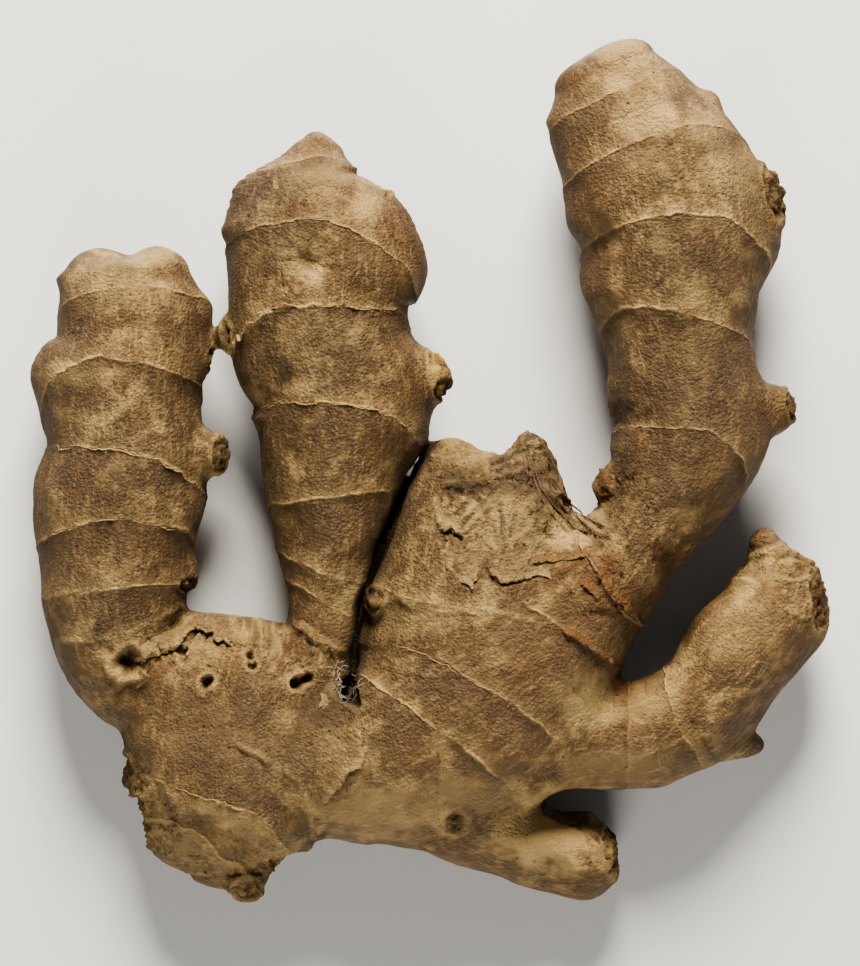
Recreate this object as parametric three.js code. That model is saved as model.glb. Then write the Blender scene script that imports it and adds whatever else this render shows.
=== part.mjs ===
// A ginger root: one rhizome with five fingers, lying flat as it was picked.
// Millimetres, +Z up. The origin is on the surface it lies on, under the middle of its outline.
// The root is one solid. Its skin is the zero level of a field: negative inside, positive outside.
import * as THREE from "three";
import { triTable } from "three/addons/objects/MarchingCubes.js";

// Driving dimensions
const RING_HEIGHT = 0.75; // a leaf ring above the skin beside it
const RING_WIDTH = 0.95; // from a ring's crest to its foot
const RING_STEP = 0.45; // how far the skin past a ring, towards the tip, stands above the skin before it
const RING_STEP_LENGTH = 4; // over which that step fades out
const RING_WOBBLE = 0.5; // how far a ring strays from a plane cut
const WOBBLE_LENGTH = 7;
const SWELL = 0.36; // the slow swell and dip of the skin
const SWELL_LENGTH = 11;
const CREVICE_HALF_WIDTH = 0.65; // between the middle finger and the body
const CREVICE_FLOOR = 12; // its lowest point, above the surface the root lies on
const SCAR_RIM_WIDTH = 0.35; // a scar's rim, as a share of its radius
const CELL = 1.0; // edge of the cells that the skin is first drawn with
const TRIANGLES = 9000; // left when the even parts of the skin have been thinned out
const SKIN_COLOUR = 0x8f6f48;

// Each lobe runs from its root to its tip through sections.
// A section is x, y, half width to the left and to the right (facing the tip), centre height, half height.
// tip is how far the rounded end goes past the last section, and root the same before the first one.
// A ring is its place (2.5 is halfway from section 2 to 3), then how many millimetres nearer the tip
// it runs on the top than on the flanks, and on the left flank than on the axis.
const LOBES = {
  body: {
    sections: [
      [-20, -47.5, 12, 11.4, 12, 10],
      [-9.5, -44.5, 13, 16.2, 13.5, 12],
      [3.5, -38.5, 16, 19, 14.4, 13.4],
      [15.5, -30, 16, 16, 14.2, 13.4],
      [26, -20.5, 12, 9.5, 14.2, 11.8],
      [34.5, -10, 7.9, 7.4, 14.5, 10],
      [40.2, -0.6, 12.2, 10.3, 14.4, 11.3],
      [42.4, 7.4, 12.4, 12.6, 14, 12],
      [41, 15.4, 12.7, 11.7, 13.8, 12],
      [39.7, 21.8, 11.7, 12.4, 13.7, 12],
      [39.5, 29, 15, 14, 13.5, 13.2],
      [39.4, 37, 15, 16.9, 13.4, 13.9],
      [38.1, 44.2, 16.8, 16, 13.4, 13.9],
      [36.2, 50.6, 15.8, 13.7, 13.8, 13],
      [34.2, 56.2, 15, 11.4, 14, 11.4],
      [32.8, 61, 15.1, 8.2, 14, 9.8],
      [31.2, 65, 11.8, 5.2, 14, 7.6],
    ],
    root: 8,
    tip: 4.2,
    rings: [
      [1.6, 2.8, -8],
      [2.04, 6.9, -7],
      [3.45, 1, -3.3],
      [4.4, -2.3, 2.7],
      [6.06, 6.9, 1.4],
      [8.4, 7.2, 3.4],
      [10.4, 8.3, 2.3],
      [12.66, 4.7, 0.5],
      [14.6, 2.2, -1.7],
    ],
  },
  stump: {
    sections: [
      [5.8, -28, 16, 14, 14, 12],
      [7.4, -19, 16.6, 15, 14, 12.4],
      [8.6, -10, 15, 14, 13.6, 11.2],
      [9, -3.5, 13.6, 13.3, 13.2, 9.6],
      [9, 1, 12, 11.4, 12.8, 7.4],
    ],
    root: 6,
    tip: 1.8,
    rings: [[0.6, 0, 2.2]],
  },
  short_finger: {
    sections: [
      [14.5, -44, 11, 9, 13, 11],
      [24.2, -41.5, 8.6, 9.2, 12, 9.4],
      [33.8, -40.8, 7.2, 10.2, 11.2, 8.8],
      [42.6, -36.6, 6.8, 10.6, 10.8, 9],
      [49.8, -29.4, 9.6, 9.1, 10.6, 9.4],
      [54.9, -22.2, 7.6, 9.9, 10.8, 9],
      [56.6, -17.4, 8.4, 7, 11, 7.4],
      [55.6, -13.4, 6.6, 2.4, 11, 4.8],
      [53.8, -10.8, 2.8, 2.1, 11, 2.6],
    ],
    root: 6,
    tip: 1.8,
    rings: [
      [1.83, -0.5, 1.1],
      [2.8, -2.2, 0.7],
      [7.4, -0.7, 1.4],
    ],
  },
  lower_stub: {
    sections: [
      [0, -51.4, 9, 9.2, 11.2, 9],
      [9.8, -57.6, 7, 7.1, 9, 8],
      [19.4, -61, 6.5, 6.9, 7, 7.5],
      [25.6, -62.3, 6.9, 7, 6.8, 6.5],
      [29.2, -62.2, 5, 4.4, 6.8, 5.4],
    ],
    root: 6,
    tip: 1.6,
    rings: [],
  },
  base: {
    sections: [
      [-27, -25.2, 14, 12, 10, 7.6],
      [-28, -30, 15, 16.5, 11, 9.6],
      [-30, -37, 16.6, 18.5, 11.6, 10.6],
      [-31, -43.5, 17, 18.2, 11.8, 11],
      [-31, -49.5, 17, 16.3, 11.6, 10.8],
      [-30.5, -55.5, 15, 14.7, 11, 9.8],
      [-30.8, -60.5, 9.4, 14.4, 10, 8],
      [-30.6, -64.5, 5, 8, 9.4, 5],
    ],
    root: 1.2,
    tip: 3.4,
    rings: [
      [5, -2.2, 7],
      [6.4, -0.4, 9],
    ],
  },
  left_finger: {
    sections: [
      [-43.5, -38.5, 7, 9, 10.6, 8],
      [-48.5, -29.5, 10.8, 9.5, 11, 9.6],
      [-50.4, -20.5, 11.5, 11.6, 11.2, 10.6],
      [-50.2, -12.5, 12.5, 12.1, 11.3, 11.3],
      [-49.8, -4.5, 13.8, 14, 11.5, 12],
      [-48.8, 3.4, 12.4, 13, 11.6, 12],
      [-49.4, 9.8, 12.9, 12.7, 12, 11.8],
      [-49.4, 15.4, 14.2, 13.2, 12.5, 11.8],
      [-48.6, 20.5, 11.5, 13.8, 12.8, 11.5],
      [-48.6, 27.4, 10.6, 12.4, 13, 11],
      [-48.8, 31.4, 11.4, 10.2, 13, 9.6],
    ],
    root: 4,
    tip: 3,
    rings: [
      [2.15, 0.7, -0.9],
      [3, 4.6, -1],
      [4.56, 3.3, 2],
      [6.1, 7.2, -1.8],
      [8.75, 2.9, -0.5],
    ],
  },
  middle_finger: {
    sections: [
      [-18.2, -31, 5, 7.4, 12.4, 6.6],
      [-17.2, -22, 5.6, 8.2, 12.8, 7],
      [-16.3, -14.2, 7.9, 7.4, 13, 8.6],
      [-15.5, -6.2, 10.5, 9.5, 13.2, 10.2],
      [-14.6, 1, 12.8, 10.8, 13.4, 11.2],
      [-13.6, 7.4, 14.8, 13.5, 13.5, 12.2],
      [-14, 13, 14, 14.2, 13.6, 12.5],
      [-15.8, 19.4, 15.4, 13, 13.6, 12.5],
      [-17.1, 25.8, 14.9, 14.3, 13.6, 12.5],
      [-16.8, 32.2, 15.4, 16.4, 13.6, 12.8],
      [-16.8, 37.8, 15.4, 14.7, 13.6, 12.2],
      [-17.6, 42.4, 16.2, 10.8, 13.6, 10.6],
      [-18.6, 46.4, 13.1, 7, 13.6, 8.8],
      [-18.6, 49.8, 5.2, 7.2, 13.6, 6.2],
      [-17.8, 52.4, 2.2, 4.4, 13.6, 3.6],
    ],
    root: 4,
    tip: 1.8,
    rings: [
      [1.13, 0, 3.1],
      [1.96, -1.9, 1.4],
      [3.26, 0.1, -2.6],
      [5.14, 2.4, 3.1],
      [7.17, 5.7, 0.6],
      [8.84, 8.4, 4.2],
      [12.7, 1, -2.1],
    ],
  },
};

// How the lobes are joined, in order: each one with the width over which it flows into those before it.
const JOINS = [
  ["body", 0],
  ["stump", 5],
  ["short_finger", 3.5],
  ["lower_stub", 3.5],
  ["base", 4],
  ["left_finger", 1.6],
  ["middle_finger", 1.4],
];

// Buds and knobs: x, y, z, then the half sizes along x, y and z.
const BUD_BLEND = 2.2;
const BUDS = [
  [-52.6, 32, 13, 5, 3.6, 6],
  [-43.4, 32.4, 13, 4.2, 3.4, 6],
  [-37, 25.4, 13, 1.8, 2.4, 3.4],
  [-35.8, 2.8, 12.5, 3.4, 3.8, 4.4],
  [-38.8, -16.2, 12, 2, 2.6, 3],
  [-32, 21.6, 13.5, 2.2, 2.2, 3],
  [-0.4, 15, 14, 3.7, 4.4, 5],
  [-7.8, 43, 14, 1.8, 1.6, 3],
  [54.2, 43.4, 13.5, 2.6, 5, 4.4],
  [55, 9.8, 14, 3.6, 4, 4.6],
  [44.6, 59, 14, 1.8, 1.8, 2.6],
  [28.6, -2, 14, 1.6, 2.4, 3.4],
  [3.2, 2.4, 13, 4.6, 3, 5],
  [16.4, 3, 13, 2.8, 3.4, 4],
  [-9.2, -20, 19, 2.2, 2.2, 2.6],
  [49.4, -44.4, 7.4, 4.4, 2.4, 3],
  [-47.6, -49, 9, 1.8, 2.4, 3],
  [-44.2, -53.4, 9, 1.6, 2, 2.6],
  [-29.6, -67, 9, 1.8, 2.2, 2.2],
  [-21, -59.6, 9, 2, 1.6, 2.2],
];

// Scars where roots and shoots broke off: x, y, 1 on top or -1 underneath, radius, depth, rim height.
const SCARS = [
  [-47.8, -29.4, 1, 2.5, 2, 0.8],
  [-39, -28.4, 1, 1.5, 1.5, 0.3],
  [-35.5, -34, 1, 1.8, 1.6, 0.4],
  [-28.3, -30.3, 1, 1.4, 1.4, 0.3],
  [-20.5, -33.8, 1, 2, 1.6, 0.5],
  [-12.6, -35, 1, 2.2, 2.8, 0],
  [4.5, -55.4, 1, 2.3, 0.9, 0.7],
  [-20.2, 33.4, 1, 2.6, 0.5, 0],
  [-29, -42, -1, 1.8, 1, 0.5],
  [-22, -52, -1, 1.4, 1, 0.4],
  [2, -40, -1, 2, 1.1, 0.2],
  [14, -24, -1, 1.6, 1, 0.4],
  [8, -12, -1, 1.4, 1, 0.4],
  [40, 20, -1, 1.6, 0.9, 0.4],
  [-16, 14, -1, 1.5, 0.9, 0.4],
  [-50, 18, -1, 1.4, 0.9, 0.4],
  [40, -36, -1, 1.5, 0.9, 0.4],
];

// The crevice between the middle finger and the body, from its mouth to the base, as x, y.
const CREVICE = [
  [0.8, 4.8],
  [-4.2, -2.8],
  [-5.2, -7.4],
  [-7.4, -13],
  [-10.6, -20],
  [-11.6, -28],
  [-12.6, -35],
];

// A smooth curve through rows of numbers: row values at t, where 1.5 is halfway from row 1 to row 2.
function rowAt(rows, t) {
  const i = Math.min(Math.floor(t), rows.length - 2);
  const f = t - i;
  const rowNear = (k) => rows[THREE.MathUtils.clamp(k, 0, rows.length - 1)];
  const [before, from, to, after] = [i - 1, i, i + 1, i + 2].map(rowNear);
  return from.map((_, k) => {
    const [a, b, c, d] = [before[k], from[k], to[k], after[k]];
    return b + 0.5 * f * (c - a + f * (2 * a - 5 * b + 4 * c - d + f * (3 * (b - c) + d - a)));
  });
}

// A lobe's sections drawn close together, each with its distance along the axis.
const STEPS_PER_SECTION = 6;
function traced(lobe) {
  const last = (lobe.sections.length - 1) * STEPS_PER_SECTION;
  const rows = [];
  for (let i = 0; i <= last; i++) rows.push(rowAt(lobe.sections, i / STEPS_PER_SECTION));
  const along = [0];
  for (let i = 1; i <= last; i++)
    along.push(along[i - 1] + Math.hypot(rows[i][0] - rows[i - 1][0], rows[i][1] - rows[i - 1][1]));
  const placeOf = (t) => {
    const s = t * STEPS_PER_SECTION;
    const i = Math.min(Math.floor(s), last - 1);
    return along[i] + (s - i) * (along[i + 1] - along[i]);
  };
  const rings = lobe.rings.map(([t, top, left]) => ({ place: placeOf(t), top, left }));
  const reach = Math.max(...lobe.sections.flatMap((s) => s.slice(2, 4))) + lobe.tip + lobe.root;
  const box = [0, 1].map((k) => [
    Math.min(...rows.map((r) => r[k])) - reach,
    Math.max(...rows.map((r) => r[k])) + reach,
  ]);
  return { rows, along, rings, box, root: lobe.root, tip: lobe.tip };
}
const lobes = JOINS.map(([name, blend]) => ({ ...traced(LOBES[name]), blend }));

// A slow wave in space, the same for every lobe, between -1 and 1.
const swell = (x, y, z, length) => {
  const [a, b, c] = [x, y, z].map((v) => (v * 2 * Math.PI) / length);
  return (
    (Math.sin(a + 1.3 * Math.sin(0.7 * b + 0.4)) +
      Math.sin(0.9 * b - 0.6 * c + 1.1 * Math.sin(0.8 * a + 2)) +
      Math.sin(1.1 * c + 0.7 * a + 0.9 * Math.sin(0.9 * b + 4))) /
    3
  );
};

// The relief of a lobe's rings at a point s along its axis: a crest, and a step that fades towards the tip.
function ringRelief(lobe, s, side, up, wobble) {
  let relief = 0;
  for (const ring of lobe.rings) {
    const d = s - ring.place - ring.top * up - ring.left * side - wobble * RING_WOBBLE;
    if (d < -3 * RING_WIDTH || d > 3 * RING_STEP_LENGTH) continue;
    relief += RING_HEIGHT * Math.exp(-((d / RING_WIDTH) ** 2));
    if (d > 0) relief += RING_STEP * Math.exp(-d / RING_STEP_LENGTH);
  }
  return relief;
}

// Distance to a lobe's skin, near it. Far away it only has to be large.
const FAR = 20;
function lobeDistance(lobe, x, y, z) {
  const { rows, along, box } = lobe;
  if (x < box[0][0] || x > box[0][1] || y < box[1][0] || y > box[1][1]) return FAR;
  let best = Infinity;
  let at = 0;
  let share = 0;
  const last = rows.length - 2;
  for (let i = 0; i <= last; i++) {
    const [ax, ay] = rows[i];
    const dx = rows[i + 1][0] - ax;
    const dy = rows[i + 1][1] - ay;
    let f = ((x - ax) * dx + (y - ay) * dy) / (dx * dx + dy * dy);
    if (f < 0) f = 0;
    else if (f > 1) f = 1;
    const d = (x - ax - f * dx) ** 2 + (y - ay - f * dy) ** 2;
    if (d < best) {
      best = d;
      at = i;
      share = f;
    }
  }
  const a = rows[at];
  const b = rows[at + 1];
  const mix = (k) => a[k] + share * (b[k] - a[k]);
  const step = Math.hypot(b[0] - a[0], b[1] - a[1]);
  const tx = (b[0] - a[0]) / step;
  const ty = (b[1] - a[1]) / step;
  const px = x - mix(0);
  const py = y - mix(1);
  const side = px * -ty + py * tx;
  const over = px * tx + py * ty;
  const width = side > 0 ? mix(2) : mix(3);
  const end = at === 0 && share === 0 ? lobe.root : at === last && share === 1 ? lobe.tip : Infinity;
  const half = mix(5);
  const up = z - mix(4);
  const u = side / width;
  const v = up / half;
  const w = over / end;
  const q = Math.hypot(u, v, w);
  const slope = Math.hypot(u / width, v / half, w / end);
  const distance = slope > 1e-9 ? (q * (q - 1)) / slope : -half;
  if (distance > NEAR) return distance;
  const s = along[at] + share * (along[at + 1] - along[at]) + over;
  return distance - ringRelief(lobe, s, u, v, swell(x, y, z, WOBBLE_LENGTH));
}

// Two distances joined, flowing into each other over a width.
function join(a, b, width) {
  if (width === 0) return Math.min(a, b);
  const h = Math.max(width - Math.abs(a - b), 0) / width;
  return Math.min(a, b) - (h * h * width) / 4;
}

function budDistance([bx, by, bz, rx, ry, rz], x, y, z) {
  const [u, v, w] = [(x - bx) / rx, (y - by) / ry, (z - bz) / rz];
  const q = Math.hypot(u, v, w);
  const slope = Math.hypot(u / rx, v / ry, w / rz);
  return slope > 1e-9 ? (q * (q - 1)) / slope : -Math.min(rx, ry, rz);
}

// A scar's relief: a bowl with a rim round it, only on the side of the root that it is on.
const MIDDLE_HEIGHT = 12;
function scarRelief(x, y, z) {
  let relief = 0;
  for (const [sx, sy, facing, radius, depth, rim] of SCARS) {
    if ((z - MIDDLE_HEIGHT) * facing < 0) continue;
    const r = Math.hypot(x - sx, y - sy) / radius;
    if (r > 2.5) continue;
    relief += rim * Math.exp(-(((r - 1) / SCAR_RIM_WIDTH) ** 2)) - depth * Math.exp(-((r / 0.75) ** 4));
  }
  return relief;
}

function creviceDistance(x, y, z) {
  let best = Infinity;
  for (let i = 0; i + 1 < CREVICE.length; i++) {
    const [ax, ay] = CREVICE[i];
    const [dx, dy] = [CREVICE[i + 1][0] - ax, CREVICE[i + 1][1] - ay];
    const f = THREE.MathUtils.clamp(((x - ax) * dx + (y - ay) * dy) / (dx * dx + dy * dy), 0, 1);
    best = Math.min(best, Math.hypot(x - ax - f * dx, y - ay - f * dy));
  }
  return Math.max(best - CREVICE_HALF_WIDTH, CREVICE_FLOOR - z);
}

// The root's field. Small relief is only added near the skin.
const NEAR = 6;
function root(x, y, z) {
  let d = FAR;
  for (const lobe of lobes) d = join(d, lobeDistance(lobe, x, y, z), lobe.blend);
  if (d > NEAR) return d;
  for (const bud of BUDS) d = join(d, budDistance(bud, x, y, z), BUD_BLEND);
  d -= scarRelief(x, y, z) + SWELL * swell(x, y, z, SWELL_LENGTH);
  return Math.max(d, -creviceDistance(x, y, z));
}

// The skin as indexed triangles, by marching cubes over a grid of cells.
// A cell's corners go round its floor and then round its roof, and EDGES names the corners an edge joins.
const CORNERS = [0, 1].flatMap((k) => [[0, 0, k], [1, 0, k], [1, 1, k], [0, 1, k]]);
const EDGES = [0, 4].flatMap((c) => [[c, c + 1], [c + 1, c + 2], [c + 3, c + 2], [c, c + 3]]);
for (let c = 0; c < 4; c++) EDGES.push([c, c + 4]);
function skinOf(field, low, high, cell) {
  const [nx, ny, nz] = low.map((v, k) => Math.ceil((high[k] - v) / cell) + 1);
  const strides = [1, nx, nx * ny];
  const values = new Float32Array(nx * ny * nz);
  for (let k = 0, n = 0; k < nz; k++)
    for (let j = 0; j < ny; j++)
      for (let i = 0; i < nx; i++, n++)
        values[n] = field(low[0] + i * cell, low[1] + j * cell, low[2] + k * cell) || 1e-6;
  const corners = CORNERS.map((c) => c[0] + c[1] * nx + c[2] * nx * ny);
  const points = [];
  const triangles = [];
  const made = new Map();
  const pointOn = (n, edge) => {
    const [a, b] = EDGES[edge].map((c) => n + corners[c]);
    const axis = strides.indexOf(b - a);
    const key = a * 3 + axis;
    if (!made.has(key)) {
      const at = [a % nx, Math.floor(a / nx) % ny, Math.floor(a / (nx * ny))];
      at[axis] += THREE.MathUtils.clamp(values[a] / (values[a] - values[b]), 0.04, 0.96);
      made.set(key, points.length);
      points.push(at.map((v, k) => low[k] + v * cell));
    }
    return made.get(key);
  };
  for (let k = 0; k < nz - 1; k++)
    for (let j = 0; j < ny - 1; j++)
      for (let i = 0; i < nx - 1; i++) {
        const n = i + j * nx + k * nx * ny;
        let inside = 0;
        for (let c = 0; c < 8; c++) if (values[n + corners[c]] < 0) inside |= 1 << c;
        if (inside === 0 || inside === 255) continue;
        for (let e = inside * 16; triTable[e] !== -1; e += 3)
          triangles.push([triTable[e], triTable[e + 2], triTable[e + 1]].map((edge) => pointOn(n, edge)));
      }
  return { points, triangles };
}

// A mesh with the edges that matter least taken out one by one, until few enough triangles are left.
// Each point keeps the sum of its faces' planes, and an edge costs what moving to one point adds to them.
const EVENNESS = 2e-3; // how much a point's own place counts against its faces' planes
const LEAST_TURN = 0.35; // cosine of the most that a face may turn
const LEAST_HEIGHT = 0.06; // a face's least height, as a share of its longest side
function thinned({ points, triangles }, wanted) {
  const faces = triangles.map((t) => t.slice());
  const facesOf = points.map(() => new Set());
  faces.forEach((f, i) => f.forEach((p) => facesOf[p].add(i)));
  const normalOf = (a, b, c) => {
    const [ux, uy, uz] = [b[0] - a[0], b[1] - a[1], b[2] - a[2]];
    const [vx, vy, vz] = [c[0] - a[0], c[1] - a[1], c[2] - a[2]];
    return [uy * vz - uz * vy, uz * vx - ux * vz, ux * vy - uy * vx];
  };
  // A quadric is the sums of nn, nd and dd for planes n.p + d = 0, as ten numbers.
  const quadrics = points.map(() => new Float64Array(10));
  const addPlane = (q, [a, b, c], d, weight) => {
    const products = [a * a, a * b, a * c, a * d, b * b, b * c, b * d, c * c, c * d, d * d];
    products.forEach((v, k) => (q[k] += v * weight));
  };
  for (const f of faces) {
    const n = normalOf(...f.map((p) => points[p]));
    const size = Math.hypot(...n);
    if (size < 1e-12) continue;
    const unit = n.map((v) => v / size);
    for (const p of f) {
      const at = points[p];
      addPlane(quadrics[p], unit, -(unit[0] * at[0] + unit[1] * at[1] + unit[2] * at[2]), size);
      for (let k = 0; k < 3; k++)
        addPlane(quadrics[p], [0, 1, 2].map((m) => (m === k ? 1 : 0)), -at[k], size * EVENNESS);
    }
  }
  const costAt = (q, [x, y, z]) =>
    q[0] * x * x + 2 * q[1] * x * y + 2 * q[2] * x * z + 2 * q[3] * x + q[4] * y * y +
    2 * q[5] * y * z + 2 * q[6] * y + q[7] * z * z + 2 * q[8] * z + q[9];
  const bestPlace = (q) => {
    const m = new THREE.Matrix3().set(q[0], q[1], q[2], q[1], q[4], q[5], q[2], q[5], q[7]).invert();
    return new THREE.Vector3(-q[3], -q[6], -q[8]).applyMatrix3(m).toArray();
  };
  const heap = [];
  const stamp = new Int32Array(points.length);
  const sink = (i) => {
    for (let c = 2 * i + 1; c < heap.length; i = c, c = 2 * i + 1) {
      if (c + 1 < heap.length && heap[c + 1].cost < heap[c].cost) c++;
      if (heap[i].cost <= heap[c].cost) return;
      [heap[i], heap[c]] = [heap[c], heap[i]];
    }
  };
  const push = (a, b) => {
    const q = quadrics[a].map((v, k) => v + quadrics[b][k]);
    const place = bestPlace(q);
    heap.push({ a, b, place, cost: costAt(q, place), stamps: stamp[a] + stamp[b] });
    for (let i = heap.length - 1; i > 0 && heap[(i - 1) >> 1].cost > heap[i].cost; i = (i - 1) >> 1)
      [heap[i], heap[(i - 1) >> 1]] = [heap[(i - 1) >> 1], heap[i]];
  };
  const neighbours = (p) => new Set([...facesOf[p]].flatMap((f) => faces[f]).filter((o) => o !== p));
  // A face may not turn over, or end as a sliver.
  const facesStay = (p, gone, place) =>
    [...facesOf[p]].every((f) => {
      if (faces[f].includes(gone)) return true;
      const old = faces[f].map((o) => points[o]);
      const fresh = faces[f].map((o) => (o === p ? place : points[o]));
      const [n, m] = [normalOf(...old), normalOf(...fresh)];
      const [size, grown] = [Math.hypot(...n), Math.hypot(...m)];
      const sides = fresh.map((v, k) => Math.hypot(...v.map((c, j) => c - fresh[(k + 1) % 3][j])));
      const turned = (n[0] * m[0] + n[1] * m[1] + n[2] * m[2]) / (size * grown);
      return turned > LEAST_TURN && grown > LEAST_HEIGHT * Math.max(...sides) ** 2;
    });
  points.forEach((_, p) => neighbours(p).forEach((o) => o > p && push(p, o)));
  let left = faces.length;
  while (left > wanted && heap.length) {
    const { a, b, place, stamps } = heap[0];
    heap[0] = heap[heap.length - 1];
    heap.pop();
    sink(0);
    if (stamp[a] < 0 || stamp[b] < 0 || stamps !== stamp[a] + stamp[b]) continue;
    const around = neighbours(b);
    if ([...neighbours(a)].filter((o) => around.has(o)).length !== 2) continue;
    if (!facesStay(a, b, place) || !facesStay(b, a, place)) continue;
    for (const f of [...facesOf[b]]) {
      if (faces[f].includes(a)) {
        faces[f].forEach((o) => facesOf[o].delete(f));
        faces[f] = null;
        left--;
      } else {
        faces[f][faces[f].indexOf(b)] = a;
        facesOf[a].add(f);
      }
    }
    points[a] = place;
    quadrics[b].forEach((v, k) => (quadrics[a][k] += v));
    stamp[b] = -1;
    stamp[a]++;
    neighbours(a).forEach((o) => push(a, o));
  }
  return { points, triangles: faces.filter(Boolean) };
}

// Where the root's weight presses it on the surface below, it has small flats.
const FLAT_BELOW = 0.02;
function flattened(mesh) {
  for (const p of mesh.points) if (p[2] < FLAT_BELOW) p[2] = 0;
  return mesh;
}

function geometryOf({ points, triangles }) {
  const places = triangles.flat().flatMap((p) => points[p]);
  return new THREE.BufferGeometry().setAttribute("position", new THREE.Float32BufferAttribute(places, 3));
}

// The block of space that the skin is looked for in.
const LOW = [-67, -73, -2];
const HIGH = [67, 73, 32];
const skin = flattened(thinned(flattened(skinOf(root, LOW, HIGH, CELL)), TRIANGLES));
const material = new THREE.MeshStandardMaterial({ color: SKIN_COLOUR, roughness: 0.62, metalness: 0 });
const rhizome = new THREE.Mesh(geometryOf(skin), material);
rhizome.name = "ginger_root";
rhizome.geometry.computeVertexNormals();

const ginger = new THREE.Group();
ginger.name = "fresh_ginger";
ginger.add(rhizome);

export default ginger;
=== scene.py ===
"""Dresses the ginger root: its wrinkled skin with rings, buds and scars, papery scales and root hairs.

Sizes inside the shape functions are millimetres in the root's own frame, and meshes are made in metres.
"""

import math

import bpy
import numpy as np
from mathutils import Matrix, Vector, noise
from mathutils.bvhtree import BVHTree


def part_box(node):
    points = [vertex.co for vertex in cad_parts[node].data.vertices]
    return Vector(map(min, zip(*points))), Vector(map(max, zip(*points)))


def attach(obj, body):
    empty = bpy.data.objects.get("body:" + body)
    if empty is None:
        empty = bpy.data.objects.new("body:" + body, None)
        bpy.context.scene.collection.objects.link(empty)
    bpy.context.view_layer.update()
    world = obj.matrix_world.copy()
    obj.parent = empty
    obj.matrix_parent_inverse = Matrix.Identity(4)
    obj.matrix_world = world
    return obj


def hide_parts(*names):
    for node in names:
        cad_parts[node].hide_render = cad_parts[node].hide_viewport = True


bl_info = {
    "name": "Ginger Root",
    "version": (1, 0, 0),
    "blender": (4, 5, 0),
    "location": "3D View > Sidebar > Ginger",
    "description": "Grows the fine skin, scales and root hairs of a fresh ginger root",
    "category": "Object",
}

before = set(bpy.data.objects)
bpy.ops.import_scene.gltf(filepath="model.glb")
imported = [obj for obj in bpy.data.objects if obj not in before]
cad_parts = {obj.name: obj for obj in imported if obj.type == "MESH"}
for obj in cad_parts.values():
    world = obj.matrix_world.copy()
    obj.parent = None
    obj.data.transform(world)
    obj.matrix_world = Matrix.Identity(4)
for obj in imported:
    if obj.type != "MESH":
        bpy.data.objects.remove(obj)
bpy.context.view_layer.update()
ROOT_LOW, ROOT_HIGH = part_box("ginger_root")

MM = 0.001

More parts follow.
